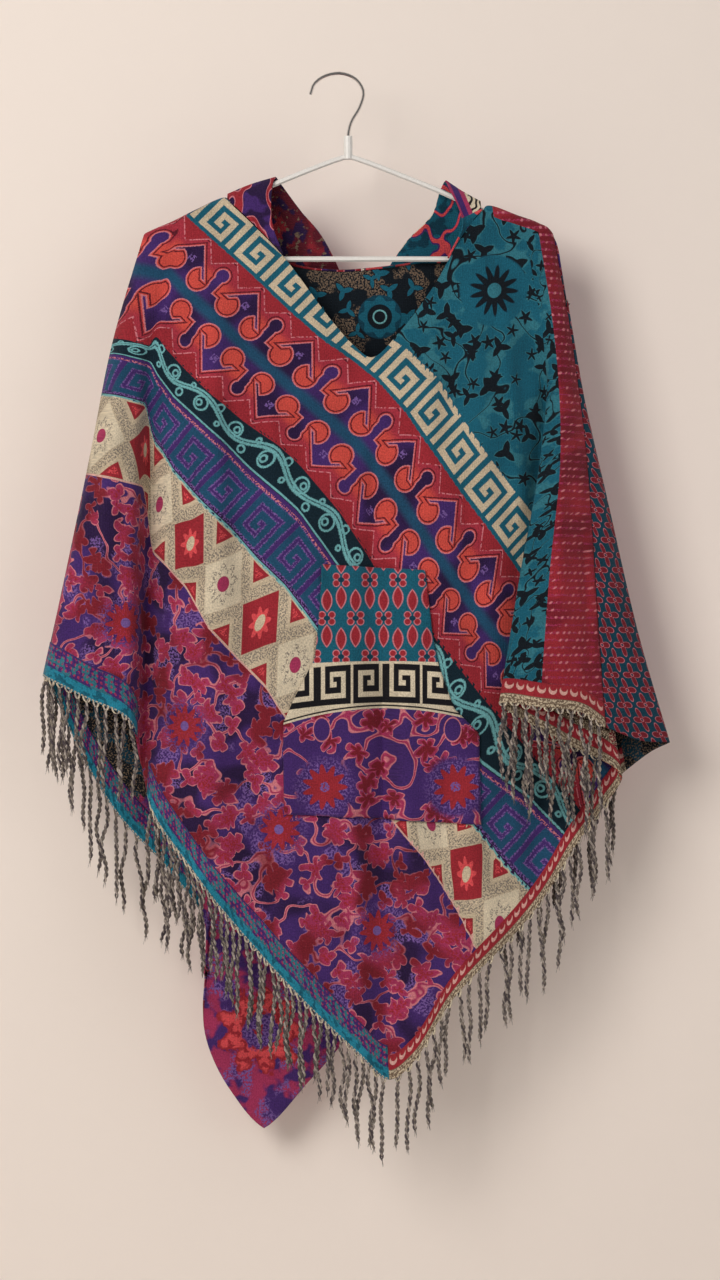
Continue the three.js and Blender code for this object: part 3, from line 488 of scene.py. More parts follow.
class Loom:
    """One cloth material being woven: its node tree, the cloth's own coordinates and its colour so far.

    x and y are the cloth's own width and the wall's level, v is the band number, and u and w run along and across
    the slanting bands. What is laid keeps to the mask in within.
    """

    def __init__(self, name: str, ground: Shade, turn: float = 1) -> None:
        """Starts a material.

        Args:
            name: the material's name.
            ground: its first colour.
            turn: 1 where the bands run down to the right and -1 where they run up to the right.
        """
        self.material = bpy.data.materials.new(name)
        self.material.use_nodes = True
        self.tree = self.material.node_tree
        self.shader = self.tree.nodes["Principled BSDF"]
        attribute = self.tree.nodes.new("ShaderNodeAttribute")
        attribute.attribute_name = "fabric"
        self.x, self.v, self.y = self.parted(attribute.outputs["Vector"])
        self.u, self.w = (self.x + self.y * turn) * DIAGONAL, (self.y - self.x * turn) * DIAGONAL
        self.colour: Socket | Paint = ground.linear
        self.within: Wire | None = None

    def parted(self, vector: Socket) -> tuple[Wire, Wire, Wire]:
        """The three numbers of a vector."""
        node = self.tree.nodes.new("ShaderNodeSeparateXYZ")
        self.tree.links.new(vector, node.inputs[0])
        first, second, third = (Wire(self.tree, output) for output in node.outputs)
        return first, second, third

    def place(self) -> tuple[Wire, Wire, Wire]:
        """The place in the part's frame, in millimetres."""
        x, y, z = self.parted(self.tree.nodes.new("ShaderNodeTexCoord").outputs["Object"])
        return x * 1000, y * 1000, z * 1000

    def feed(self, socket: Socket) -> None:
        """Feeds the colour so far into a socket."""
        if isinstance(self.colour, tuple):
            socket.default_value = self.colour
        else:
            self.tree.links.new(self.colour, socket)

    def lay(self, mask: Wire, shade: Shade) -> "Loom":
        """Lays a colour where a mask is 1."""
        node = self.tree.nodes.new("ShaderNodeMix")
        node.data_type = "RGBA"
        kept = mask if self.within is None else mask * self.within
        self.tree.links.new(kept.socket, node.inputs[0])
        self.feed(node.inputs[6])
        node.inputs[7].default_value = shade.linear
        self.colour = node.outputs[2]
        return self

    def outlined(self, distance: Wire, fill: Shade, edge: Shade, width: float) -> "Loom":
        """Lays a shape and then a line along its edge.

        Args:
            distance: below 0 inside the shape, in millimetres.
            fill: the shape's colour.
            edge: the line's colour.
            width: the line's width.

        Returns:
            The loom.
        """
        return self.lay(distance.inside(), fill).lay(distance.line(width), edge)

    def point(self, x: Wire, y: Wire) -> Socket:
        """A vector of two numbers."""
        node = self.tree.nodes.new("ShaderNodeCombineXYZ")
        self.tree.links.new(x.socket, node.inputs[0])
        self.tree.links.new(y.socket, node.inputs[1])
        return node.outputs[0]

    def noise(self, x: Wire, y: Wire, size: float, detail: float) -> Wire:
        """Soft noise from 0 to 1.

        Args:
            x, y: the coordinates, in millimetres.
            size: the size of its blots, in millimetres.
            detail: how many finer layers it has.

        Returns:
            The noise.
        """
        node = self.tree.nodes.new("ShaderNodeTexNoise")
        node.noise_dimensions = "2D"
        self.tree.links.new(self.point(x, y), node.inputs["Vector"])
        node.inputs["Scale"].default_value = 1 / size
        node.inputs["Detail"].default_value = detail
        return Wire(self.tree, node.outputs[0])

    def spots(self, x: Wire, y: Wire, size: float, detail: float, level: float, soft: float) -> Wire:
        """A mask of spots, where the noise of that size and detail is below a level."""
        return self.noise(x, y, size, detail).inside(level, soft)

    def stem(self, x: Wire, y: Wire, size: float, steep: float, half: float, detail: float = 1) -> Wire:
        """The distance to a winding stem.

        Args:
            x, y: the coordinates, in millimetres.
            size: the size of its windings.
            steep: how fast the distance grows.
            half: half its width.
            detail: how many finer windings it has.

        Returns:
            The distance, below 0 inside the stem.
        """
        return (self.noise(x, y, size, detail) - 0.5).abs() * steep - half

    def scattered(self, x: Wire, y: Wire, leaf: Leaf) -> Wire:
        """The distance to leaves scattered and turned unevenly, below 0 inside a leaf."""
        node = self.tree.nodes.new("ShaderNodeTexVoronoi")
        node.voronoi_dimensions = "2D"
        node.inputs["Scale"].default_value = 1 / leaf.spacing
        self.tree.links.new(self.point(x, y), node.inputs["Vector"])
        place_x, place_y, _ = self.parted(node.outputs["Position"])
        chance, second_chance, _ = self.parted(node.outputs["Color"])
        dx, dy = x - place_x, y - place_y
        turn = dy.do("ARCTAN2", dx) + chance * TURN
        tips = (turn * (leaf.lobes / 2)).do("SINE").abs() * (-2 * leaf.swing) + leaf.swing
        return length_of(dx, dy) - (tips + second_chance * (0.3 * leaf.radius) + 0.85 * leaf.radius)

    def daisy(self, x: Wire, y: Wire, petals: int, radius: float, swing: float) -> Wire:
        """The distance to a daisy at the origin."""
        return length_of(x, y) - ((y.do("ARCTAN2", x) * petals).do("COSINE") * swing + radius)

    def trimmed(self, low: float, before: Shade, high: float, after: Shade) -> "Loom":
        """Lays the neighbours' grounds past the band's own edges, so that the edges run true across the faces."""
        self.within = None
        self.lay(self.v.inside(low, BAND_SOFTNESS), before)
        return self.lay(self.v.beyond(high, BAND_SOFTNESS), after)

    def done(self, roughness: float = 0.88, relief: float = 0.7) -> Material:
        """Finishes the material: uneven yarn, the weave's relief and a soft sheen.

        Args:
            roughness: the yarn's.
            relief: how strongly the weave stands out.

        Returns:
            The material.
        """
        x, y, z = self.place()
        heather = self.noise(x + y * 0.7, z, 1.6, 3)
        worn = self.noise(x, z + y * 0.5, 38, 2)
        uneven_yarn = self.tree.nodes.new("ShaderNodeHueSaturation")
        self.tree.links.new((heather * 0.95 + worn * 0.5 + 0.27).socket, uneven_yarn.inputs["Value"])
        self.feed(uneven_yarn.inputs["Color"])
        uneven_yarn.inputs["Saturation"].default_value = 0.97
        self.tree.links.new(uneven_yarn.outputs[0], self.shader.inputs["Base Color"])
        threads = (z + y * 0.3).sine(1.5) * 0.5 + (x + y * 0.6).sine(1.9) * 0.35 + heather * 1.4
        bump = self.tree.nodes.new("ShaderNodeBump")
        bump.inputs["Strength"].default_value = relief
        bump.inputs["Distance"].default_value = 0.0005
        self.tree.links.new(threads.socket, bump.inputs["Height"])
        self.tree.links.new(bump.outputs[0], self.shader.inputs["Normal"])
        for what, value in (("Roughness", roughness), ("Specular IOR Level", 0.14), ("Sheen Weight", 0.06),
                            ("Sheen Roughness", 0.5)):
            self.shader.inputs[what].default_value = value
        return self.material


@dataclass(frozen=True)
class KeyChart:
    """A squared spiral, one stroke wide, for a border that repeats along a band.

    Each stroke is (left, right, low, high) in millimetres, from the band's lower edge.
    """

    pitch: float = 47.8
    strokes: tuple[tuple[float, float, float, float], ...] = (
        (0, 6, 0, 38), (0, 31, 0, 6), (25, 31, 0, 27), (11.5, 31, 21, 27), (11.5, 17, 11, 27), (11.5, 21, 11, 16),
        (0, 42, 32, 38), (36, 42, 0, 38),
    )

    def distance(self, x: Wire, y: Wire) -> Wire:
        """The distance to the strokes, for a place within the repeat."""
        found = [box(x, y, *stroke) for stroke in self.strokes]
        return found[0].least(*found[1:])


KEY = KeyChart()


def teal_field(name: str) -> Material:
    """Teal with black leaf vines outlined pale, and a large black daisy."""
    loom = Loom(name, Shade.TEAL)
    x, y = loom.x, loom.y
    loom.lay(loom.spots(x, y, 30, 4, 0.47, 0.03), Shade.TEAL_PALE)
    loom.lay(loom.spots(x + 900, y, 40, 1, 0.45, 0.04), Shade.TEAL)
    large, small = loom.scattered(x, y, Leaf(33, 3, 8.5, 4.2)), loom.scattered(x + 400, y, Leaf(27, 5, 6, 2.6))
    loom.outlined(large.least(small, loom.stem(x, y + 300, 46, 90, 1.4)), Shade.INK, Shade.TEAL_PALE, 1.2)
    dx, dy = x - 497, y - 290
    middle = length_of(dx, dy)
    loom.lay((middle - 36).inside(0, 1.5), Shade.TEAL)
    loom.outlined(loom.daisy(dx, dy, 13, 20, 6), Shade.INK, Shade.TEAL_DEEP, 1.4)
    loom.lay((middle - 7.5).inside(), Shade.TEAL_PALE)
    return loom.lay(loom.v.beyond(1, BAND_SOFTNESS), Shade.TEAL).done()


def sleeve_vines(name: str) -> Material:
    """Teal with black leaf vines, for the right sleeve's inner run."""
    loom = Loom(name, Shade.TEAL)
    x, y = loom.x, loom.y
    loom.lay(loom.spots(x, y, 30, 4, 0.45, 0.03), Shade.TEAL_PALE)
    large, small = loom.scattered(x, y, Leaf(24, 3, 7.5, 4)), loom.scattered(x + 400, y, Leaf(21, 4, 4.5, 2))
    leaves = large.least(small, loom.stem(x * 1.6, y + 300, 40, 90, 1.2))
    return loom.outlined(leaves, Shade.INK, Shade.TEAL_PALE, 1).done()


def cream_key(name: str) -> Material:
    """Cream squared spirals on teal, with the teal border below."""
    loom = Loom(name, Shade.TEAL)
    y = (-loom.v + 2) * 43 - 4.2
    ragged = (loom.noise(loom.u, loom.w, 1.4, 1) - 0.5) * 0.8
    loom.lay((KEY.distance((loom.u - 295.5).cell(KEY.pitch), y) + ragged).inside(), Shade.CREAM)
    loom.lay((y + 3.8).inside(0, 0.3), Shade.RED)
    return loom.trimmed(1, Shade.TEAL, 2, Shade.RED).done()


def hook_band(name: str, turn: float = 1) -> Material:
    """Red border, coral stepped line with curled hooks on purple, turned about the band's blue middle line."""
    loom = Loom(name, Shade.PLUM, turn)
    u, w = loom.u, loom.w
    centred = loom.v - 3
    upper = centred.inside(0, NO_SOFTNESS)
    y = (-centred.abs() + 1) * 56
    mirrored = (u - 534.6) * upper - (u - 552) * (-upper + 1)
    x = ((mirrored + 36.45 + 7290).cell(72.9) - 36.45) * 1.045
    loom.lay(loom.spots(u, w, 60, 1, 0.5, 0.12), Shade.PURPLE)
    loom.lay(y.beyond(50, 4), Shade.BLUE)
    roof = (-(y - 8.8 - (x - 1.2).abs()) * 0.72).most(-(x + 17.3), x - 26.2)
    bulb_x = (x.abs() - 38.1).abs()
    bulb = (length_of(bulb_x, y - 20) - 7.2).least((bulb_x - 5).most(-(y - 20)))
    purple = roof.least(bulb, -(y - 40))
    discs = (length_of(x + 13, y - 38) - 12.4).least(length_of(x - 22, y - 38.5) - 12.6)
    right_slit = (((y - x - 9.8).abs() * 0.7) - 1.5).most(y - 36.5, -(y - 24))
    left_slit = (((y + x - 12.2).abs() * 0.7) - 1.3).most(y - 31.5, -(y - 22))
    blot = (loom.noise(u, w, 1.6, 1) - 0.5) * 1.1
    coral = (-purple).least(discs).most(-(right_slit.least(left_slit)), -(y - 1)) + blot
    loom.lay(coral.inside(), Shade.FLAME)
    loom.lay((coral + 1).inside() * y.inside(24, 6), Shade.ROSE)
    loom.lay((coral + 2.1).line(1.3), Shade.MAROON)
    loom.lay((coral - 0.1).line(1.1), Shade.PINK)
    stepped = -(y - 0.6 - (x - 1.2 + 381).folded(19.05) * 0.93)
    loom.lay((-stepped).inside() * y.inside(22, 0.5), Shade.RED)
    loom.lay(stepped.line(1.6) * loom.spots(u, w, 3, 1, 0.56, 0.05), Shade.PINK)
    notch = box(x - 1, y - 26.4, -3.6, 3.6, -3.6, 3.6)
    loom.lay(notch.inside() * loom.spots(u, w, 2.2, 1, 0.52, 0.05), Shade.LILAC)
    return loom.trimmed(2, Shade.TEAL, 4, Shade.NAVY).done()


# The thin vine's curls: (place along the repeat, level, radius) in millimetres.
VINE_CURLS: tuple[tuple[float, float, float], ...] = (
    (22, 12.4, 7.4), (24, 11.6, 3), (66, 15.6, 7.4), (64, 16.4, 3), (40, 22.5, 3.6), (84, 6, 3.6),
    (48, 7, 2.2), (4, 21, 2.2),
)


def vine_and_key(name: str, turn: float = 1) -> Material:
    """A navy band with a thin curling vine, then blue squared spirals with speckled purple outlines."""
    loom = Loom(name, Shade.NAVY, turn)
    y, u = (loom.v - 4) * 31, loom.u - 8
    vine, x = y - 14 - u.sine(88) * 6.5, u.cell(88)
    curls = [(length_of(x - centre, y - level) - radius).abs() for centre, level, radius in VINE_CURLS]
    lines = curls[0].least(*curls[1:]).least(vine.abs() * 0.7, (vine + 3.4).abs() * 0.9)
    threads = loom.noise(loom.u, loom.w, 1.5, 1)
    loom.lay((lines - 1 + (threads - 0.5) * 1.2).inside(0, 0.5), Shade.AQUA)
    loom.lay((y - 29.6).line(1.6), Shade.AQUA)
    is_key = loom.v.beyond(5, NO_SOFTNESS)
    loom.lay(is_key, Shade.PLUM)
    loom.within = is_key
    lower = (loom.v - 5) * 50
    loom.lay((lower - 45).inside(0, 1), Shade.PURPLE)
    key = KEY.distance((loom.u - 436.5).cell(49.5) * 0.966, -(lower - 44.5))
    loom.lay((key - 0.4).inside(), Shade.BLUE)
    dashes = loom.spots(loom.u, loom.w, 1.9, 1, 0.5, 0.05)
    loom.lay((key - 0.7).line(1.7) * dashes, Shade.LILAC)
    loom.lay((lower - 4.5).line(2.2) * dashes, Shade.PINK)
    loom.lay((lower - 46.5).line(2) * dashes, Shade.LILAC)
    loom.lay((lower - 49.3).line(1.6), Shade.AQUA)
    loom.within = None
    loom.lay((loom.v - 4).inside(0.05, 0.01), Shade.RED)
    return loom.trimmed(4, Shade.RED, 6, Shade.CREAM).done()


def patch_band(name: str, turn: float = 1) -> Material:
    """Speckled cream with red diamonds and cream diamonds in turn, and small red triangles along both edges."""
    loom = Loom(name, Shade.CREAM, turn)
    w = (loom.v - 6.5) * 70
    u = loom.u - w * 0.3 - 514.8 + 1100
    x = (u + 27.5).cell(55) - 27.5
    speck = loom.noise(loom.u, loom.w, 1.7, 2)
    diamond = (x.abs() * (1 / 25.5) + w.abs() * (1 / 30.5) - 1) * 18
    loom.lay((diamond - 5).line(9, 1.5) * speck.inside(0.485, 0.03), Shade.STONE)
    is_red = (u + 27.5).do("DIVIDE", 110).do("FRACT").inside(0.5, NO_SOFTNESS)
    is_cream = -is_red + 1
    loom.lay(diamond.inside(), Shade.IVORY)
    loom.lay(diamond.inside() * is_red, Shade.RED)
    petals = loom.daisy(x * 1.15, w, 8, 11, 2.6)
    loom.lay(petals.inside() * is_red, Shade.CORAL)
    loom.lay((length_of(x * 1.35, w * 0.85) - 6.2).inside() * is_red, Shade.CREAM)
    loom.lay((petals - 1.5).line(5, 1) * speck.inside(0.47, 0.03) * is_cream, Shade.STONE)
    loom.lay((length_of(x, w) - 6.2).inside() * is_cream, Shade.MAGENTA)
    corner = (x.abs() - 27.5).abs() * 0.95 - (w.abs() - 19) * 0.78
    loom.lay(corner.most(w.abs() - 33).inside(), Shade.RED)
    loom.lay((corner + 3).most(w.abs() - 30).inside() * speck.inside(0.5, 0.04), Shade.CORAL)
    loom.lay((w + 34).inside(0, 0.5), Shade.AQUA)
    loom.lay(w.beyond(33.5, 0.5), Shade.BLUSH)
    return loom.trimmed(6, Shade.PLUM, 7, Shade.PURPLE).done()


def floral_field(name: str) -> Material:
    """Purple with red leaf vines outlined pale pink, and large daisies with a speckled ring."""
    loom = Loom(name, Shade.PURPLE)
    u, w = loom.u, loom.w
    loom.lay(loom.spots(u, w, 60, 1, 0.46, 0.08), Shade.PLUM)
    speck = loom.noise(u, w, 2.2, 2)
    loom.lay(loom.spots(u + 500, w, 42, 2, 0.42, 0.03) * speck.inside(0.5, 0.04), Shade.LILAC)
    bent = (loom.noise(u, w, 15, 1) - 0.5) * 14
    large = loom.scattered(u + bent, w - bent, Leaf(34, 5, 9.8, -3.4))
    small = loom.scattered(u + 300 + bent, w, Leaf(25, 3, 6.4, -3))
    leaves = large.least(small, loom.stem(u, w + 700, 50, 90, 1.3, 1.5))
    dim = loom.spots(u, w + 90, 52, 1, 0.46, 0.1)
    loom.lay(leaves.inside(), Shade.MAGENTA).lay(leaves.inside() * dim, Shade.CRIMSON)
    loom.lay(leaves.line(1.4) * (dim * -0.7 + 1), Shade.PINK)
    loom.lay((leaves + 4.5).inside(0, 1) * speck.inside(0.53, 0.05) * (-dim + 1), Shade.RED)
    x, y = (u - 640 + 72.5 + 1450).cell(145) - 72.5, (w - 386 + 75 + 1500).cell(150) - 75
    halo = length_of(x, y)
    loom.lay((halo - 25).inside(0, 9) * speck.inside(0.48, 0.05), Shade.LILAC)
    loom.lay((halo - 21).inside(0, 5) * speck.inside(0.56, 0.05), Shade.PURPLE)
    loom.lay(loom.daisy(x, y, 11, 17, 4).inside(0, 1), Shade.RED)
    loom.lay(loom.daisy(x, y, 11, 11, 3).line(1.3) * speck.inside(0.5, 0.05), Shade.MAGENTA)
    loom.lay((halo - 4.8).inside(), Shade.LILAC)
    return loom.lay(loom.v.inside(7, BAND_SOFTNESS), Shade.BLUSH).done()


def pink_band(name: str) -> Material:
    """Crimson and magenta with level rows of pale dashes."""
    loom = Loom(name, Shade.CRIMSON)
    x, y = loom.x, loom.y
    loom.lay(loom.spots(x, y, 55, 1, 0.5, 0.1), Shade.RED)
    rows = y.cell(7.4) - 3.7
    loom.lay(rows.line(2.2, 0.6) * loom.spots(x * 0.35, y, 1.1, 1, 0.5, 0.04), Shade.MAGENTA)
    crosses = length_of(x.cell(6.2) - 3.1, rows) - 1.4
    return loom.lay(crosses.inside(0, 0.6) * loom.spots(x, y, 9, 1, 0.49, 0.06), Shade.PINK).done()


def flower_strip(name: str) -> Material:
    """Small red flowers with pale outlines on teal, in half-drop rows."""
    loom = Loom(name, Shade.TEAL_DEEP)
    rows = []
    for across, down in ((0, 0), (13, 15)):
        x, y = (loom.x + across).cell(26) - 13, (loom.y + down).cell(30) - 15
        rows.append(loom.daisy(x, y * 0.85, 4, 6.4, 3.4).most(-(length_of(x, y) - 1.6)))
    return loom.outlined(rows[0].least(rows[1]), Shade.CRIMSON, Shade.PINK, 0.7).done()


def reverse_weave(name: str, ground: Shade, mark: Shade, fleck: Shade) -> Material:
    """The cloth's duller reverse side: flecked, with soft blots."""
    loom = Loom(name, ground)
    blots = loom.noise(loom.x, loom.y, 24, 2)
    loom.lay(blots.inside(0.48, 0.03), mark)
    loom.lay((blots - 0.48).line(0.03, 0.012), Shade.BLACK)
    return loom.lay(loom.spots(loom.x, loom.y, 2, 2, 0.44, 0.03), fleck).done()


def reverse_neck(name: str) -> Material:
    """The back's inner face by the neck: dark teal and black scrolls on flecked taupe, with a ringed flower."""
    loom = Loom(name, Shade.INK)
    x, y = loom.x, loom.y
    flecked = loom.spots(x, y, 26, 2, 0.5, 0.02) * loom.spots(x, y, 1.8, 2, 0.5, 0.04)
    loom.lay(flecked, Shade.TAUPE)
    loom.outlined(loom.scattered(x, y, Leaf(27, 3, 7, 4)), Shade.TEAL, Shade.BLACK, 1.2)
    dx, dy = x - 380, y - 313
    ringed = length_of(dx, dy)
    loom.lay((ringed - 22).inside(0, 0.6), Shade.TEAL_DEEP)
    loom.lay(loom.daisy(dx, dy, 8, 19, 2.2).inside(), Shade.TEAL)
    loom.lay((ringed - 12.5).inside(), Shade.INK)
    return loom.lay((ringed - 6.5).line(1.6), Shade.AQUA).done()


def reverse_striped(name: str) -> Material:
    """The front's inner face: flecked taupe with brown scrolls and lines along the hem."""
    loom = Loom(name, Shade.TAUPE)
    x, y = loom.x, loom.y
    loom.lay((loom.noise(x, y, 26, 1) - 0.5).abs().inside(0.03, 0.012), Shade.UMBER)
    loom.lay(loom.spots(x, y, 34, 1, 0.42, 0.02), Shade.CRIMSON)
    for level in (22, 27, 32):
        loom.lay((y - x * 0.45 - 490 + level).line(1.8), Shade.UMBER)
    return loom.lay(loom.spots(x, y, 1.8, 2, 0.44, 0.04), Shade.CREAM).done()


def coral_floral(name: str) -> Material:
    """The inner face of the hanging corner: a wide coral bloom with a lilac middle, on purple."""
    loom = Loom(name, Shade.PURPLE)
    x, y = loom.x, loom.y
    speck, fine = loom.noise(x, y, 2.4, 2), loom.noise(x, y, 7, 2)
    loom.lay(loom.spots(x, y, 24, 2, 0.5, 0.05), Shade.MAGENTA)
    loom.lay(loom.spots(x + 60, y, 26, 1, 0.44, 0.05) * speck.inside(0.5, 0.05), Shade.LILAC)
    dx, dy = x - 258, y - 1038
    petals = loom.daisy(dx, dy, 9, 40, 7) + (loom.noise(x, y, 9, 2) - 0.5) * 22
    loom.lay(petals.inside(0, 2), Shade.RED)
    loom.lay((petals + 5).inside(0, 3) * fine.inside(0.56, 0.06), Shade.CORAL)
    middle = length_of(dx, dy) + (fine - 0.5) * 14
    loom.lay((middle - 19).inside(0, 2), Shade.PURPLE)
    loom.lay((middle - 17).inside(0, 4) * speck.inside(0.5, 0.06), Shade.LILAC)
    return loom.lay((middle - 5).inside(0, 1), Shade.RED).done()


def pocket_weave(name: str) -> Material:
    """The pocket: leafy red columns on teal, a black squared spiral on cream, then daisies on purple."""
    loom = Loom(name, Shade.TEAL)
    x, y = loom.x, loom.v
    bowed = (x - 385) * (x - 385)
    petals, hearts = [], []
    for across, down in ((0, 0), (14.2, 38.2)):
        cx = (x - 327 + across + 14.2 + 284).cell(28.4) - 14.2
        cy = (y - 618.4 + down + 38.2 + 764).cell(76.4) - 38.2
        leaf = cx.abs() * (1 / 4.8) + ((cy.abs() - 17.5) * (1 / 11)).do("POWER", 2)
        petals += [(leaf - 1) * 3.4, length_of(cx.abs() - 4.8, cy.abs() - 3.4) - 3.2]
        hearts.append(length_of(cx * 0.8, cy) - 2.6)
    loom.outlined(petals[0].least(*petals[1:]), Shade.RED, Shade.PINK, 0.9)
    loom.lay(hearts[0].least(hearts[1]).inside(), Shade.TEAL_DEEP)
    top, low = y - 661 - bowed * 0.0004, y - 707 - bowed * 0.0016
    is_key = top.beyond(0, 0.4)
    loom.lay(is_key, Shade.IVORY)
    loom.within = is_key
    key_x = (-(x - 317.5 + 344).folded(34.4) + 33.2) * 1.22
    span = KEY.distance(key_x, (y - 663.5 - bowed * 0.0008) * 0.98)
    loom.lay(span.inside() * low.inside(-3.5, 0.3), Shade.BLACK)
    loom.lay((low + 1.6).line(2.2), Shade.BLACK)
    loom.within = None
    loom.lay((low + 0.2).line(1.8), Shade.IVORY)
    is_floral = low.beyond(1, 0.4)
    loom.lay(is_floral, Shade.PURPLE)
    loom.within = is_floral
    bent = (loom.noise(x, y, 15, 1) - 0.5) * 12
    stem = loom.stem(x, y + 700, 46, 80, 1.6, 1.5)
    leaves = loom.scattered(x + bent, y - bent, Leaf(29, 5, 8.4, -3.2)).least(stem)
    loom.lay(leaves.inside(), Shade.MAGENTA)
    loom.lay((leaves + 3.5).inside(0, 1), Shade.CRIMSON)
    loom.lay(leaves.line(1.1), Shade.PINK)
    flower_x = (x - 325 + 65 + 650).cell(130) - 65
    halo = length_of(flower_x, y - 786)
    speck = loom.noise(x, y, 2.2, 2)
    loom.lay((halo - 30).inside(0, 4), Shade.PURPLE)
    loom.lay((halo - 28).inside(0, 9) * speck.inside(0.47, 0.05), Shade.LILAC)
    loom.lay(loom.daisy(flower_x, y - 786, 11, 18.5, 4.2).inside(0, 1), Shade.RED)
    loom.lay((halo - 5).inside() * speck.inside(0.55, 0.05), Shade.LILAC)
    oval = length_of(flower_x + 3, (y - 729) * 0.72) - 8.5
    return loom.outlined(oval, Shade.PURPLE, Shade.PINK, 1).done()


def hood_scroll(name: str) -> Material:
    """The hood's left half outside: purple with red scrolls outlined pale."""
    loom = Loom(name, Shade.PLUM)
    x, y = loom.x, loom.v
    loom.lay(loom.spots(x, y, 22, 2, 0.46, 0.05), Shade.PURPLE)
    return loom.outlined(loom.stem(x * 1.5, y * 0.8 + 200, 34, 60, 3.4), Shade.RED, Shade.PINK, 1.2).done()


def hood_lining(name: str) -> Material:
    """The hood's left half inside: maroon with soft red blots."""
    loom = Loom(name, Shade.MAROON)
    x, y = loom.x, loom.v
    loom.lay(loom.spots(x, y, 34, 1, 0.46, 0.07), Shade.RED)
    loom.lay(loom.spots(x + 90, y, 20, 3, 0.42, 0.04), Shade.PLUM)
    return loom.lay(loom.spots(x, y + 50, 6, 3, 0.36, 0.04), Shade.TAUPE).done()


def hood_striped(name: str) -> Material:
    """The hood's right half outside: cream and black streaks with a magenta and purple band."""
    loom = Loom(name, Shade.IVORY)
    x, y = loom.x, loom.v
    streak = (x * 1 + y * 0.42 + loom.noise(x, y, 14, 1) * 22).cell(8.2) - 4.1
    loom.lay(streak.abs().inside(1.9, 0.4), Shade.BLACK)
    band = (x - 452 - (y - 180) * 0.42).abs()
    loom.lay((band - 8).inside(0, 0.5), Shade.MAGENTA)
    loom.lay((band - 3.2).inside(0, 0.5), Shade.PURPLE)
    lower = (-(y - 228 + (x - 440) * 0.5)).inside(0, 0.5)
    loom.lay(lower, Shade.TEAL)
    return loom.lay(lower * loom.stem(x, y, 30, 60, 3).inside(), Shade.CORAL).done()


def hood_vein(name: str) -> Material:
    """The hood's right half inside: teal with a coral branching vein."""
    loom = Loom(name, Shade.TEAL)
    x, y = loom.x, loom.v
    loom.lay(loom.spots(x, y, 18, 2, 0.45, 0.04), Shade.TEAL_DEEP)
    return loom.outlined(loom.stem(x, y * 0.8, 30, 70, 3), Shade.CORAL, Shade.PURPLE, 1.3).done()


def teal_strip(name: str) -> Material:
    """The left hems: a dotted grey-blue band, then the bright teal strip."""
    loom = Loom(name, Shade.STRIP)
    along, down = loom.x, loom.v
    dotted = down.inside(22, 0.4)
    loom.lay(dotted, Shade.TEAL_PALE)
    loom.lay(dotted * loom.spots(along, down, 9, 2, 0.5, 0.03), Shade.PURPLE)
    dots = length_of(along.cell(5.2) - 2.6, down.cell(5.2) - 2.6) - 1.5
    loom.lay(dotted * dots.inside() * loom.spots(along, down, 2, 1, 0.56, 0.06), Shade.MAGENTA)
    loom.lay((down - 1).line(1.6), Shade.PURPLE)
    loom.lay(down.beyond(22, 0.3) * loom.spots(along, down, 8, 2, 0.44, 0.04), Shade.TEAL)
    return loom.lay((down - 32.8).line(1.2) * (along.cell(4) - 2).abs().inside(1.3, 0.2), Shade.CREAM).done()


def moon_strip(name: str) -> Material:
    """The right hems: red with cream half moons, then the tan selvage."""
    loom = Loom(name, Shade.RED)
    along, down = loom.x, loom.v
    x = along.cell(11.5) - 5.75
    moon = (length_of(x, down - 6) - 4.4).most(-(length_of(x - 0.5, down - 3.2) - 3.6))
    loom.lay(moon.inside(), Shade.BLUSH)
    loom.lay(down.beyond(14.5, 0.3), Shade.TAUPE)
    selvage = down.beyond(15.2, 0.3)
    loom.lay(selvage, Shade.CREAM)
    loom.lay(selvage * loom.spots(along, down, 2.2, 1, 0.5, 0.05), Shade.TAUPE)
    return loom.lay((down - 19.5).line(0.9), Shade.TAUPE).done()


def ply(name: str, ground: Shade, fleck: Shade) -> Material:
    """Twisted yarn."""
    loom = Loom(name, ground)
    x, y, z = loom.place()
    return loom.lay(loom.spots(x + y, z * 0.3, 4, 2, 0.48, 0.12), fleck).done(0.95, 0.5)


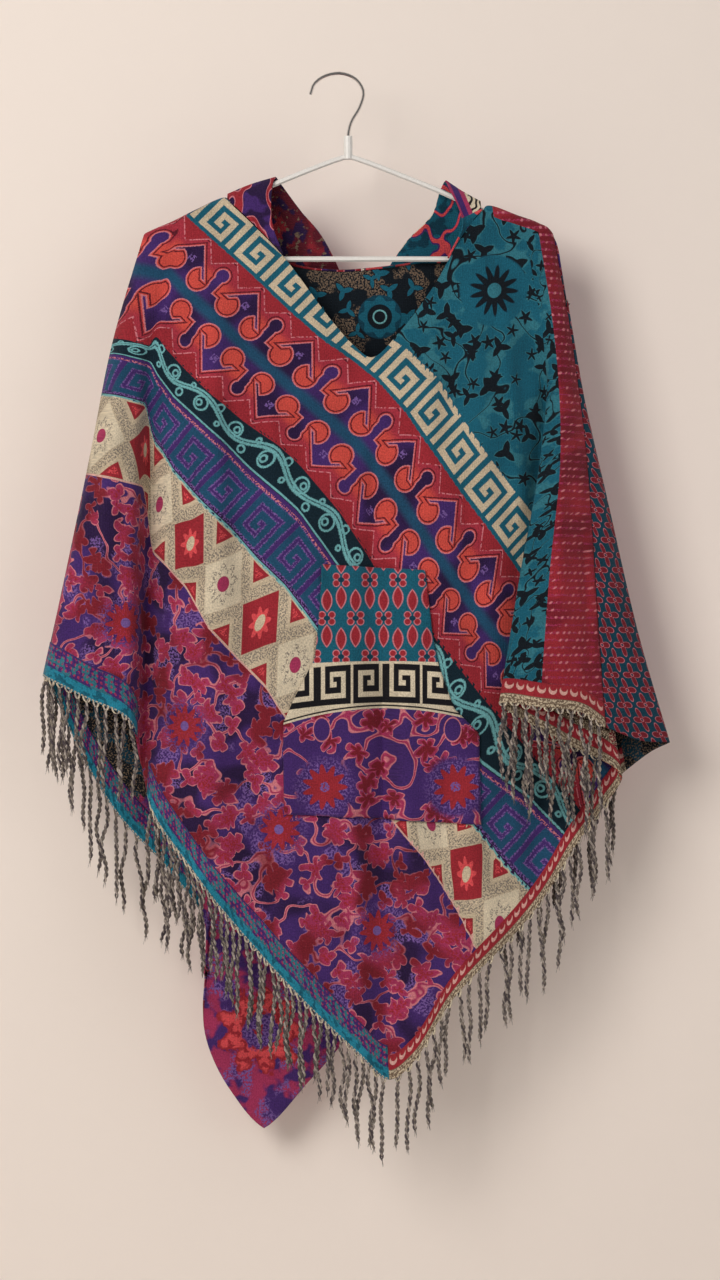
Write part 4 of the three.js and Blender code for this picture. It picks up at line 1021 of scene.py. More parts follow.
@dataclass
class FoldSheet:
    """A panel of cloth lofted through its fold lines, with its fine creases.

    rounds_from is the fold from which the cloth keeps to its own side of the hanger's plane only at its top, and
    the quiet stretches at the top and sides have no creases. A hanging corner is drawn out at one fold's foot.
    """

    side: Side
    folds: tuple[Fold, ...]
    creases: tuple[Crease, ...]
    rounds_from: float
    crease_share: float = 2.0
    shoulder_radius: float = 4.8
    edge_gap: float = 0.2
    quiet_top: float = 26.0
    quiet_side: float = 0.7
    corner: float = 9.0
    corner_drop: float = 0.0
    corner_reach: float = 0.3
    corner_from: float = 0.9

    def __post_init__(self) -> None:
        """Keeps the stations as arrays."""
        self.stations = [np.array(fold.at, float) for fold in self.folds]
        self.last = len(self.folds) - 1

    def on_fold(self, k: int, t: Array) -> Array:
        """Stations of one fold line at shares of the way from its top to the hem."""
        at = self.stations[k]
        return along_fold(at, at[0, 0] + t * (at[-1, 0] - at[0, 0]))

    def raw(self, s: Array, t: Array) -> Array:
        """The lofted points before the shoulder roll.

        Args:
            s: places counted in folds, one for each column.
            t: shares of the way down, rows by columns.

        Returns:
            Points in millimetres, rows by columns.
        """
        columns = []
        for j, place in enumerate(s):
            down = t[:, j]
            columns.append(
                through(lambda k: wall_points(self.on_fold(k, down)), self.last + 1, float(place)))
        return np.stack(columns, axis=1)

    def length(self, s: Array) -> Array:
        """How far the sheet falls from its top edge to the hem in each column."""
        ends = self.raw(s, np.repeat([[0.0], [1.0]], len(s), axis=1))
        return ends[0, :, 2] - ends[1, :, 2]

    def crease_depth(self, across: Array, down: Array) -> Array:
        """How far the fine creases lift the cloth at places on the wall."""
        lift = np.zeros_like(across)
        for crease in self.creases:
            start, end = np.array(crease.start, float), np.array(crease.end, float)
            run = end - start
            length = float(np.hypot(*run))
            unit = run / length
            x, y = across - start[0], down - start[1]
            u = (x * unit[0] + y * unit[1]) / length
            aside = x * unit[1] - y * unit[0] - crease.bow * 4 * u * (1 - u)
            width = crease.width * (0.8 + 0.4 * np.clip(u, 0, 1))
            ends = smooth(0, 0.3, u) * smooth(1, 0.75, u)
            lift += self.crease_share * crease.depth * ends * np.exp(-((aside / width) ** 2))
        return lift

    def at(self, s: Array, t: Array) -> Array:
        """The draped cloth's middle surface, rolled over the hanger's arm, creased and drawn out at its corner.

        Args:
            s: places counted in folds, one for each column.
            t: shares of the way down, rows by columns.

        Returns:
            Points in millimetres, rows by columns.
        """
        sign = self.side.value
        point = self.raw(s, t)
        i = np.minimum(s.astype(int), self.last - 1)
        rolls = np.array([fold.roll for fold in self.folds])
        roll = rolls[i] + (s - i) * (rolls[i + 1] - rolls[i])
        fallen = t * self.length(s)
        rest = self.shoulder_radius - np.minimum(fallen, self.shoulder_radius)
        depth = np.sqrt(self.shoulder_radius**2 - rest**2)
        kept = (t == 0) | (s < self.rounds_from)[None, :]
        y = point[..., 1]
        y = np.where(kept, sign * np.minimum(sign * y, 0), y)
        lift = self.crease_depth(point[..., 0] + HOOK_ACROSS, HOOK_DOWN - point[..., 2])
        sides = smooth(0, self.quiet_side, s) * smooth(self.last, self.last - self.quiet_side, s)
        lift *= smooth(0, self.quiet_top, fallen) * sides
        point[..., 1] = y - sign * (self.edge_gap + roll * depth + lift)
        near_corner = np.exp(-np.abs(s - self.corner) / self.corner_reach) * smooth(self.corner_from, 1, t)
        point[..., 2] -= self.corner_drop * near_corner * t
        return point

    def sewn_edge(self, s: Array, gap: float) -> Array:
        """Places just past the top edge, where the hood is sewn on."""
        edge = self.at(s, np.zeros((1, len(s))))[0]
        below = self.at(s, np.full((1, len(s)), 0.02))[0]
        ahead = self.at(s + 0.05, np.zeros((1, len(s))))[0] - edge
        up = edge - below
        past = up - ahead * (np.sum(up * ahead, axis=1) / np.sum(ahead * ahead, axis=1))[:, None]
        return edge + gap * past / np.linalg.norm(past, axis=1, keepdims=True)


def grid_object(name: str, points: Array, fabric: Array | None = None, strip: int = 0) -> Piece:
    """Makes a mesh object of a grid of points.

    Args:
        name: the object's name.
        points: rows by columns by 3, in millimetres.
        fabric: the cloth's own coordinates at the same places, rows by columns by 3.
        strip: where above 0, how many columns each separate strip of the grid has.

    Returns:
        The object, at the origin.
    """
    rows, columns = points.shape[:2]
    bm = bmesh.new()
    bmesh.ops.create_grid(bm, x_segments=columns - 1, y_segments=rows - 1, size=1)
    co = np.array([v.co[:2] for v in bm.verts])
    c = np.rint((co[:, 0] + 1) / 2 * (columns - 1)).astype(int)
    r = np.rint((co[:, 1] + 1) / 2 * (rows - 1)).astype(int)
    if strip:
        bm.faces.ensure_lookup_table()
        cut = [face for i, face in enumerate(bm.faces) if i % (columns - 1) % strip == strip - 1]
        bmesh.ops.delete(bm, geom=cut, context="FACES_ONLY")
    mesh = bpy.data.meshes.new(name)
    bm.to_mesh(mesh)
    bm.free()
    mesh.vertices.foreach_set("co", (points[r, c] * MM).astype(np.float32).ravel())
    if fabric is not None:
        attribute = mesh.attributes.new("fabric", "FLOAT_VECTOR", "POINT")
        attribute.data.foreach_set("vector", fabric[r, c].astype(np.float32).ravel())
    mesh.polygons.foreach_set("use_smooth", [True] * len(mesh.polygons))
    mesh.update()
    made = bpy.data.objects.new(name, mesh)
    bpy.context.scene.collection.objects.link(made)
    return made


def dressed(made: Piece, outer: Sequence[Material], inner: Sequence[Material], zones: Array) -> None:
    """Gives a grid object its materials.

    Args:
        made: the object.
        outer: its outer materials.
        inner: one for the reverse of each outer one.
        zones: the number of the outer material of each face, rows by columns.
    """
    for material in (*outer, *inner):
        made.data.materials.append(material)
    made.data.polygons.foreach_set("material_index", zones.astype(np.int32).ravel())


def joined(name: str, parts: Sequence[Piece]) -> Piece:
    """Joins mesh objects into the first, under a new name.

    Args:
        name: the new name.
        parts: the objects, all at the origin.

    Returns:
        The joined object.
    """
    chosen = list(parts)
    with bpy.context.temp_override(
        active_object=parts[0], selected_editable_objects=chosen, selected_objects=chosen,
    ):
        bpy.ops.object.join()
    parts[0].name = parts[0].data.name = name
    return parts[0]


THICKNESS = "cloth thickness"


def thicken(made: Piece, thickness: float, inner: int = 0) -> None:
    """Gives a sheet its thickness, half to each side.

    Args:
        made: the sheet.
        thickness: in millimetres.
        inner: how many material slots on the reverse side's stand.
    """
    wall = made.modifiers.new(THICKNESS, "SOLIDIFY")
    wall.thickness = thickness * MM
    wall.offset = 0
    wall.use_even_offset = True
    wall.material_offset = inner


def registered(made: Piece, slot: str, *nodes: str) -> Piece:
    """Args:
        made: the piece.
        slot: not used.
        nodes: the solids that it replaces.

    Returns:
        The piece.
    """
    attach(made, "root")
    if nodes:
        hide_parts(*nodes)
    corners = np.array([list(c) for c in made.bound_box])
    low, high = corners.min(axis=0).round(3), corners.max(axis=0).round(3)
    LOG.info("%s: %d faces, %s to %s", made.name, len(made.data.polygons), low, high)
    return made


def plain(name: str, colour: Rgb, roughness: float = 0.9, metallic: float = 0.0) -> Material:
    """A plain finish."""
    material = bpy.data.materials.new(name)
    material.use_nodes = True
    shader = material.node_tree.nodes["Principled BSDF"]
    shader.inputs["Base Color"].default_value = (*colour, 1)
    shader.inputs["Roughness"].default_value = roughness
    shader.inputs["Metallic"].default_value = metallic
    return material


# A band's edges as (across, down) on the wall, where the photo shows them.
BAND_EDGES: tuple[tuple[tuple[float, float], ...], ...] = (
    ((212, 185), (281, 244), (352, 307), (385, 333), (409, 349), (439, 378), (465, 421), (491, 459), (519, 495)),
    ((186, 215), (220, 246), (253, 276), (286, 308), (324, 341), (360, 366), (378, 381), (406, 413), (433, 454),
     (459, 491), (483, 522), (506, 554), (530, 588)),
    ((148, 250), (186, 291), (229, 332), (274, 374), (320, 412), (362, 449), (394, 492), (418, 528), (449, 574),
     (476, 612), (495, 637), (520, 668)),
    ((135, 284), (147, 317), (164, 344), (185, 367), (212, 394), (243, 419), (279, 444), (300, 463), (340, 510),
     (375, 565), (410, 605), (444, 647), (469, 678), (497, 712), (530, 750)),
    ((162, 382), (174, 398), (199, 421), (224, 444), (250, 470), (279, 495), (300, 514), (336, 565), (400, 650),
     (440, 706), (480, 764), (500, 778), (530, 800), (564, 835)),
    ((143, 430), (162, 451), (174, 472), (204, 505), (232, 532), (260, 563), (286, 588), (316, 628), (360, 690),
     (420, 765), (479, 831), (502, 861), (522, 883), (545, 905)),
    ((138, 540), (166, 566), (186, 588), (210, 630), (238, 660), (266, 688), (285, 718), (340, 775), (391, 819),
     (422, 856), (439, 882), (457, 911), (470, 940), (490, 975)),
)
SLEEVE_EDGES: tuple[float, ...] = (150, 205, 262, 336, 353, 396, 480)


def reaching(across: Array, edge: Sequence[tuple[float, float]]) -> Array:
    """An edge's level at places across, drawn on straight past its ends."""
    at = np.array(edge, float)
    level = np.interp(across, at[:, 0], at[:, 1])
    for end, inner in ((0, 1), (-1, -2)):
        slope = (at[end, 1] - at[inner, 1]) / (at[end, 0] - at[inner, 0])
        beyond = across < at[0, 0] if end == 0 else across > at[-1, 0]
        level = np.where(beyond, at[end, 1] + (across - at[end, 0]) * slope, level)
    return level


def band_number(down: Array, edges: Sequence[Array | float]) -> Array:
    """Which band each place is in, as 1 at the first edge, 2 at the second and so on, even between them."""
    levels = [np.broadcast_to(np.asarray(edge, float), down.shape) for edge in edges]
    number = 1 - (levels[0] - down) / 60
    for k, (above, below) in enumerate(zip(levels, levels[1:])):
        number = np.where(down > above, k + 1 + (down - above) / np.maximum(below - above, 1), number)
    return np.where(down > levels[-1], len(levels) + (down - levels[-1]) / 80, number)


@dataclass
class Panel:
    """The front or the back panel."""

    name: str
    sheet: FoldSheet
    node: str
    slot: str
    anchor: int
    per_fold: int = 9
    rows: int = 200
    thickness: float = 1.8
    shoulder_rows: tuple[float, ...] = (0, 0.25, 0.8, 1.7, 3, 4.8, 7.5)

    def grid(self) -> tuple[Array, Array]:
        """The grid's places: s for each column, and t for rows by columns."""
        s = np.linspace(0, self.sheet.last, self.sheet.last * self.per_fold + 1)
        length = self.sheet.length(s)
        head = np.array(self.shoulder_rows)[:, None] / length[None, :]
        rest = np.linspace(0, 1, self.rows - len(self.shoulder_rows) + 1)[1:, None]
        return s, np.vstack([head, head[-1] + rest * (1 - head[-1])])

    def unrolled(self, points: Array) -> Array:
        """How far across each place is with the folds laid flat."""
        step = np.hypot(np.diff(points[..., 0], axis=1), np.diff(points[..., 1], axis=1))
        run = np.concatenate([np.zeros((len(points), 1)), np.cumsum(step, axis=1)], axis=1)
        column = self.anchor * self.per_fold
        return run - run[:, column : column + 1] + points[:, column : column + 1, 0] + HOOK_ACROSS

    def bands(self, s: Array, across: Array, down: Array) -> Array:
        """The band number of each place."""
        raise NotImplementedError

    def looks(self) -> list[tuple[Material, Material]]:
        """The outer weave and the reverse of each zone."""
        raise NotImplementedError

    def zones(self, s: Array, fallen: Array, across: Array, down: Array, band: Array) -> Array:
        """The zone of each face, from the places of their middles."""
        raise NotImplementedError

    def build(self) -> Piece:
        """Builds the panel's cloth."""
        s, t = self.grid()
        points = self.sheet.at(s, t)
        across, down = points[..., 0] + HOOK_ACROSS, HOOK_DOWN - points[..., 2]
        fallen = t * self.sheet.length(s)
        number = self.bands(np.broadcast_to(s, t.shape), across, down)
        fabric = np.stack([self.unrolled(points), number, down], axis=-1)

        def middle(values: Array) -> Array:
            """Values at the middles of the faces."""
            return (values[:-1, :-1] + values[1:, :-1] + values[:-1, 1:] + values[1:, 1:]) / 4

        zones = self.zones(*(middle(v) for v in (np.broadcast_to(s, t.shape), fallen, across, down, number)))
        if self.sheet.side is Side.FRONT:
            points, fabric, zones = points[:, ::-1], fabric[:, ::-1], zones[:, ::-1]
        made = grid_object(self.name, points, fabric)
        looks = self.looks()
        dressed(made, [outer for outer, _ in looks], [inner for _, inner in looks], zones)
        thicken(made, self.thickness, len(looks))
        return registered(made, self.slot, self.node)


@dataclass
class FrontPanel(Panel):
    """The front: slanting bands across it, a teal field above and a floral field below.

    The sleeve's edge, and where the vines, the pink band and its crown start, are counted in folds.
    """

    sleeve_edge: float = 4.0
    vines_from: float = 20.3
    pink_from: float = 21.9
    crown_from: float = 17.3
    crown_depth: float = 9.5
    zone_of_band: tuple[int, ...] = (0, 1, 2, 2, 3, 3, 4, 5)

    def bands(self, s: Array, across: Array, down: Array) -> Array:
        """The band number of each place."""
        body = band_number(down, [reaching(across, edge) for edge in BAND_EDGES])
        slanted = down + 0.9 * (112 - across) * 0.25
        sleeve = band_number(slanted, SLEEVE_EDGES)
        share = smooth(self.sleeve_edge - 0.5, self.sleeve_edge + 0.4, s)
        return sleeve + (body - sleeve) * share

    def looks(self) -> list[tuple[Material, Material]]:
        """The outer weave and the reverse of each zone."""
        reverse = reverse_striped("front_reverse")
        outer = [
            teal_field("teal_field"), cream_key("cream_key_band"), hook_band("hook_band"),
            vine_and_key("vine_and_blue_key_band"), patch_band("patch_band"), floral_field("floral_field"),
            pink_band("pink_sleeve_band"), sleeve_vines("sleeve_vines"),
        ]
        return [(weave, reverse) for weave in outer]

    def zones(self, s: Array, fallen: Array, across: Array, down: Array, band: Array) -> Array:
        """The zone of each face, from the places of their middles."""
        last = len(self.zone_of_band) - 1
        zone = np.array(self.zone_of_band)[np.clip(np.floor(band), 0, last).astype(int)]
        zone = np.where((s > self.vines_from) & (s <= self.pink_from), 7, zone)
        return np.where((s > self.pink_from) | ((s > self.crown_from) & (fallen < self.crown_depth)), 6, zone)


@dataclass
class BackPanel(Panel):
    """The back: the bands run on round the left side, and a floral field fills the rest."""

    arm_until: float = 7
    strip_from: float = 19.55
    neck_until: float = 420
    corner_below: float = 800

    def bands(self, s: Array, across: Array, down: Array) -> Array:
        """The band number of each place: the bands climb to the right from the left side."""
        return band_number((down + 0.9 * across - 176.2) / 0.795, SLEEVE_EDGES)

    def looks(self) -> list[tuple[Material, Material]]:
        """The outer weave and the reverse of each zone."""
        neck, low = reverse_neck("back_reverse_neck"), coral_floral("back_reverse_corner")
        flecked = reverse_weave("back_reverse", Shade.INK, Shade.TEAL_DEEP, Shade.TAUPE)
        floral = floral_field("back_floral_field")
        return [
            (floral, neck), (floral, flecked), (floral, low), (hook_band("back_hook_band", -1.0), flecked),
            (vine_and_key("back_vine_band", -1.0), flecked), (patch_band("back_patch_band", -1.0), flecked),
            (flower_strip("side_flower_strip"), flecked),
        ]

    def zones(self, s: Array, fallen: Array, across: Array, down: Array, band: Array) -> Array:
        """The zone of each face, from the places of their middles."""
        zone = np.where(down < self.neck_until, 0, np.where(down < self.corner_below, 1, 2))
        arm = s < self.arm_until
        for number, (low, high) in ((3, (0, 4)), (4, (4, 6)), (5, (6, 7))):
            zone = np.where(arm & (band >= low) & (band < high), number, zone)
        return np.where(s > self.strip_from, 6, zone)


@dataclass
class HoodHalf:
    """One half of the hood, lofted through its ribs from the vee, over the hanger's arm, to the back neckline."""

    name: str
    side: int
    ribs: tuple[tuple[Station, ...], ...]
    vee_seam: tuple[float, float]
    neckline: tuple[float, float]
    node: str
    across: int = 48
    per_station: int = 12
    vee_gap: float = 1.2
    neckline_gap: float = 1.4
    neckline_roll: tuple[float, float, float] = (0, 5, 0.4)
    thickness: float = 1.8

    def points(self, front: FoldSheet, back: FoldSheet) -> Array:
        """The half's grid of points, rows by columns."""
        u = np.linspace(0, 1, self.across + 1)
        ribs = [wall_points(rib) for rib in self.ribs]
        count = len(self.ribs[0])
        places = [float(share * (len(ribs) - 1)) for share in u]
        columns = np.stack([through(lambda k: ribs[k], len(ribs), place) for place in places], axis=1)
        columns[0] = front.sewn_edge(self.vee_seam[0] + u * (self.vee_seam[1] - self.vee_seam[0]), self.vee_gap)
        columns[-1] = back.sewn_edge(self.neckline[0] + u * (self.neckline[1] - self.neckline[0]), self.neckline_gap)
        columns[-2] = columns[-1] + np.array(self.neckline_roll)
        rows = (count - 1) * self.per_station
        return np.stack([through(lambda k: columns[k], count, r / self.per_station) for r in range(rows + 1)])

    def build(self, front: FoldSheet, back: FoldSheet) -> Piece:
        """Builds the half."""
        points = self.points(front, back)
        if self.side > 0:
            points = points[:, ::-1]
        fall = np.linalg.norm(np.diff(points, axis=0), axis=-1)
        along = np.concatenate([np.zeros((1, points.shape[1])), np.cumsum(fall, axis=0)])
        fabric = np.stack([points[..., 0] + HOOK_ACROSS, HOOK_DOWN - points[..., 2], along], axis=-1)
        made = grid_object(self.name, points, fabric)
        outer = hood_striped("hood_striped") if self.side > 0 else hood_scroll("hood_scroll")
        inner = hood_vein("hood_vein") if self.side > 0 else hood_lining("hood_blotched")
        dressed(made, [outer], [inner], np.zeros((points.shape[0] - 1, points.shape[1] - 1)))
        thicken(made, self.thickness, 1)
        return registered(made, "cloth_hood", self.node)


@dataclass
class Pocket:
    """The kangaroo pocket, laid on the front and moved out."""

    sides: tuple[tuple[float, float, float], ...] = (
        (568, 321, 425), (632, 319, 432), (662, 315, 438), (704, 294, 453), (728, 284, 478), (818, 285, 479),
    )
    slope: float = 0.055
    middle: float = 380
    stand_off: float = 2.5
    bulge: float = 2.4
    rows: int = 66
    columns: int = 60
    thickness: float = 1.8

    def points(self, front: Piece) -> Array:
        """The pocket's points, rows by columns, dropped straight onto the front and lifted off it."""
        sides = np.array(self.sides)
        down = np.linspace(sides[0, 0], sides[-1, 0], self.rows + 1)
        b = np.linspace(0, 1, self.rows + 1)[:, None]
        a = np.linspace(0, 1, self.columns + 1)[None, :]
        left, right = (np.interp(down, sides[:, 0], sides[:, k])[:, None] for k in (1, 2))
        across = left + (right - left) * a
        level = down[:, None] + self.slope * (across - self.middle)
        mesh = front.data
        tree = BVHTree.FromPolygons([v.co for v in mesh.vertices], [p.vertices for p in mesh.polygons])
        laid = np.zeros((*across.shape, 3))
        for r, c in np.ndindex(across.shape):
            x, z = (across[r, c] - HOOK_ACROSS) * MM, (HOOK_DOWN - level[r, c]) * MM
            laid[r, c] = np.array(tree.ray_cast((x, -1, z), (0, 1, 0))[0]) / MM
        normal = np.cross(np.gradient(laid, axis=0), np.gradient(laid, axis=1))
        normal /= np.linalg.norm(normal, axis=-1, keepdims=True)
        out = self.stand_off + self.bulge * np.sqrt(np.clip(np.sin(np.pi * a) * np.sin(np.pi * b), 0, 1))
        return laid + normal * out[..., None]

    def build(self, front: Piece) -> Piece:
        """Builds the pocket."""
        points = self.points(front)[:, ::-1]
        fabric = np.stack([points[..., 0] + HOOK_ACROSS, HOOK_DOWN - points[..., 2], 0 * points[..., 0]], axis=-1)
        made = grid_object("pocket_cloth", points, fabric)
        reverse = reverse_weave("pocket_reverse", Shade.TAUPE, Shade.UMBER, Shade.CREAM)
        dressed(made, [pocket_weave("pocket_weave")], [reverse], np.zeros((self.rows, self.columns)))
        thicken(made, self.thickness, 1)
        return registered(made, "cloth_pocket", "pocket")


@dataclass(frozen=True)
class Hem:
    """Where a fringed strip sits: its sheet, the stretch of folds, where its cords are rooted and how many."""

    name: str
    node: str
    sheet: FoldSheet
    stretch: tuple[float, float]
    rooted: tuple[float, float]
    cords: int
    seed: int


@dataclass
class HemFringe:
    """A woven strip along a hem, with its twisted cords. Lengths are in millimetres."""

    hem: Hem
    slot: str
    height: float
    strip_thickness: float = 3.0
    strip_steps: int = 12
    length: float = 78
    spread: float = 13
    above_hem: float = 3
    sway: float = 3.6
    lean: float = 2.0
    ply_radius: float = 1.2
    opened: float = 2.6
    sides: int = 6
    rings: int = 54
    pitch: float = 12.5
    tuft: int = 5
    loose_length: float = 7
    loose_radius: float = 0.42
    loose_sides: int = 3
    loop_half: float = 3.6
    loop_drop: float = 4.4
    loop_radius: float = 0.95
    loop_out: float = 1.2
    loop_sides: int = 5

    def strip(self, weave: Material) -> Piece:
        """Builds the woven strip."""
        (start, end), sheet = self.hem.stretch, self.hem.sheet
        s = np.linspace(start, end, max(8, int((end - start) * self.strip_steps)))
        cut = 1 - self.height / sheet.length(s)
        share = np.linspace(0, 1, self.strip_steps)[:, None]
        points = sheet.at(s, cut[None, :] + share * (1 - cut)[None, :])
        step = np.linalg.norm(np.diff(points[-1], axis=0), axis=1)
        along = np.broadcast_to(np.concatenate([[0], np.cumsum(step)]), points.shape[:2])
        fabric = np.stack([along, share * self.height + 0 * along, 0 * along], axis=-1)
        if sheet.side is Side.FRONT:
            points, fabric = points[:, ::-1], fabric[:, ::-1]
        made = grid_object(self.hem.name + "_strip", points, fabric)
        made.data.materials.append(weave)
        thicken(made, self.strip_thickness)
        with bpy.context.temp_override(object=made, active_object=made):
            bpy.ops.object.modifier_apply(modifier=THICKNESS)
        return made

    def roots(self) -> tuple[Array, Array]:
        """The cords' roots on the hem and the hem's directions there."""
        start, end = self.hem.rooted
        dense = np.linspace(start, end, int(round((end - start) * 24)) + 1)
        edge = self.hem.sheet.at(dense, np.ones((1, len(dense))))[0]
        run = np.concatenate([[0], np.cumsum(np.linalg.norm(np.diff(edge, axis=0), axis=1))])
        wanted = (np.arange(self.hem.cords) + 0.5) / self.hem.cords * run[-1]
        tangents = np.gradient(edge, axis=0)
        tangents /= np.linalg.norm(tangents, axis=1, keepdims=True)
        places, turns = (
            np.stack([np.interp(wanted, run, rows[:, k]) for k in range(3)], axis=1) for rows in (edge, tangents)
        )
        return places, turns

    def tube(self, centre: Array, radius: Array, sides: int) -> Array:
        """Rings of points round a route that hangs down.

        Args:
            centre: the route's points.
            radius: one for each of them.
            sides: how many sides a ring has.

        Returns:
            Points, along the route by round it, with its first column again at the end.
        """
        angle = -np.linspace(0, 2 * np.pi, sides + 1)
        ring = np.stack([np.cos(angle), np.sin(angle), 0 * angle], axis=1)
        return centre[:, None, :] + radius[:, None, None] * ring[None, :, :]

    def loop(self, number: int, root: Array, along: Array) -> Array:
        """The cream thread looped under the hem at a cord's root."""
        seed = self.hem.seed + number
        turn = np.linspace(0, np.pi, 9)
        route = root + np.cos(turn)[:, None] * (self.loop_half + 1.0 * uneven(seed + 0.5)) * along
        route[:, 2] += 0.6 - np.sin(turn) * (self.loop_drop + 1.2 * uneven(seed + 0.7))
        route[:, 1] -= self.hem.sheet.side.value * self.loop_out
        return self.tube(route, self.loop_radius + 0 * turn, self.loop_sides)

    def plies(self, centre: Array, along: Array, drop: Array, phase: float) -> list[Array]:
        """The two plies of a cord, parted at its root and twisted round each other below.

        Args:
            centre: the cord's middle line, from above its root down.
            along: the hem's direction.
            drop: how far below the root each point of the middle line is.
            phase: where the twist starts.

        Returns:
            One tube for each ply.
        """
        v = np.linspace(0, 1, self.rings + 1)
        opened = self.opened * (1 - smooth(0.0, 0.14, v))
        twisted = smooth(0.05, 0.16, v) * self.ply_radius
        radius = self.ply_radius * (0.75 + 0.25 * smooth(0, 0.2, v)) * (1 - 0.55 * smooth(0.94, 1, v))
        tubes = []
        for number, toward in ((0, -1), (1, 1)):
            turn = 2 * np.pi * drop / self.pitch + number * np.pi + phase
            offset = [toward * along[0] * opened + twisted * np.cos(turn),
                      toward * along[1] * opened + twisted * np.sin(turn), 0 * v]
            tubes.append(self.tube(centre + np.stack(offset, axis=1), radius, self.sides))
        return tubes

    def loose_ends(self, seed: int, end: Array) -> list[Array]:
        """The loose yarn ends of a cord's tuft."""
        w = np.linspace(0, 1, 5)
        tubes = []
        for k in range(self.tuft):
            aim = 2.4 * k + 3 * uneven(seed + 31 * k)
            flare = (0.4 + 1.6 * w**1.5) * (1 + 0.4 * uneven(seed + 17 * k))
            reach = self.loose_length + 3 * uneven(seed + 5 * k)
            route = end + np.stack([flare * np.cos(aim), flare * np.sin(aim), 2.0 - w * reach], axis=1)
            tubes.append(self.tube(route, self.loose_radius * (1 - 0.7 * w), self.loose_sides))
        return tubes

    def cord(self, number: int, root: Array, along: Array) -> tuple[list[Array], list[Array]]:
        """One cord: the tubes of its two plies, and those of the loose ends of its tuft."""
        seed = self.hem.seed + number
        length = self.length + self.spread * uneven(seed)
        sway_x, sway_y = self.sway * uneven(seed + 50), self.sway * uneven(seed + 90)
        v = np.linspace(0, 1, self.rings + 1)
        drop = v * (length + self.above_hem) - self.above_hem
        leaning = self.lean * (1 if number % 2 else -1) + 1.5 * uneven(seed + 63)
        knots = [0, 0.1, 0.55, 1]
        bend_x = np.interp(v, knots, [0, 0, sway_x + leaning, 0.4 * sway_x + leaning])
        bend_y = np.interp(v, knots, [0, 0, sway_y, 1.4 * sway_y])
        phase = 3 * uneven(seed + 7)
        size, pace = 1.8 + 1.2 * uneven(seed + 13), 8 + 3 * uneven(seed + 21)
        wave = size * np.sin(v * pace + phase) * smooth(0, 0.3, v)
        centre = np.stack([root[0] + bend_x + wave, root[1] + bend_y + 0.5 * wave, root[2] - drop], axis=1)
        return self.plies(centre, along, drop, phase), self.loose_ends(seed, centre[-1])

    def build(self, weave: Material, yarns: tuple[Material, ...]) -> Piece:
        """Builds the strip and its cords as one piece.

        Args:
            weave: the strip's material.
            yarns: the materials of the first ply, the second ply and the looped thread.

        Returns:
            The piece.
        """
        plies, ends, loops = [], [], []
        for number, (root, along) in enumerate(zip(*self.roots())):
            twisted, loose = self.cord(number, root, along)
            plies += twisted
            ends += loose
            loops.append(self.loop(number, root, along))
        parts = [self.strip(weave)]
        for what, tubes, sides in (
            ("cords", plies, self.sides), ("ends", ends, self.loose_sides), ("loops", loops, self.loop_sides),
        ):
            made = grid_object(f"{self.hem.name}_{what}", np.concatenate(tubes, axis=1), strip=sides + 1)
            for yarn in yarns:
                made.data.materials.append(yarn)
            number = np.arange(len(made.data.polygons)) % (len(tubes) * sides) // sides
            yarn_number = 0 * number + 2 if what == "loops" else number % 2
            made.data.polygons.foreach_set("material_index", yarn_number.astype(np.int32))
            parts.append(made)
        return registered(joined(self.hem.name, parts), self.slot, self.hem.node)


@dataclass(frozen=True)
class WireFinish:
    """A finish of the hanger's wire, unevenly rough.

    colours are those of the least and the most worn places, and relief is how strongly the wear stands out.
    """

    name: str
    colours: tuple[Paint, Paint]
    roughness: tuple[float, float]
    scale: float
    detail: float
    metallic: float = 0.0
    relief: float = 0.0

    def build(self) -> Material:
        """Makes the material."""
        material = plain(self.name, self.colours[0][:3], metallic=self.metallic)
        tree = material.node_tree
        shader, place = tree.nodes["Principled BSDF"], tree.nodes.new("ShaderNodeTexCoord")
        wear, rough = tree.nodes.new("ShaderNodeTexNoise"), tree.nodes.new("ShaderNodeMapRange")
        wear.inputs["Scale"].default_value, wear.inputs["Detail"].default_value = self.scale, self.detail
        tree.links.new(place.outputs["Object"], wear.inputs["Vector"])
        rough.inputs[3].default_value, rough.inputs[4].default_value = self.roughness
        tree.links.new(wear.outputs[0], rough.inputs[0])
        tree.links.new(rough.outputs[0], shader.inputs["Roughness"])
        if self.colours[0] != self.colours[1]:
            mix = tree.nodes.new("ShaderNodeMix")
            mix.data_type = "RGBA"
            mix.inputs[6].default_value, mix.inputs[7].default_value = self.colours
            tree.links.new(wear.outputs[0], mix.inputs[0])
            tree.links.new(mix.outputs[2], shader.inputs["Base Color"])
        if self.relief:
            bump = tree.nodes.new("ShaderNodeBump")
            bump.inputs["Strength"].default_value, bump.inputs["Distance"].default_value = self.relief, 0.0003
            tree.links.new(wear.outputs[0], bump.inputs["Height"])
            tree.links.new(bump.outputs[0], shader.inputs["Normal"])
        return material


WHITE_COAT = WireFinish(
    "white_coat", ((0.86, 0.85, 0.82, 1), (0.72, 0.70, 0.66, 1)), (0.30, 0.50), scale=260, detail=4, relief=0.12)
CHROME = WireFinish("chrome", ((0.62, 0.61, 0.60, 1),) * 2, (0.10, 0.26), scale=420, detail=5, metallic=1.0)


def hanger_finishes() -> None:
    """Gives the hanger's solids their finishes."""
    for node, finish in (("hanger_frame", WHITE_COAT), ("hanger_hook", CHROME)):
        material = finish.build()
        for slot in bpy.data.objects[node].material_slots:
            slot.material = material


@dataclass(frozen=True)
class Lamp:
    """A soft square light: where it is and its side, both in metres, its power in watts and its colour."""

    name: str
    at: Station
    size: float
    power: float
    colour: Rgb


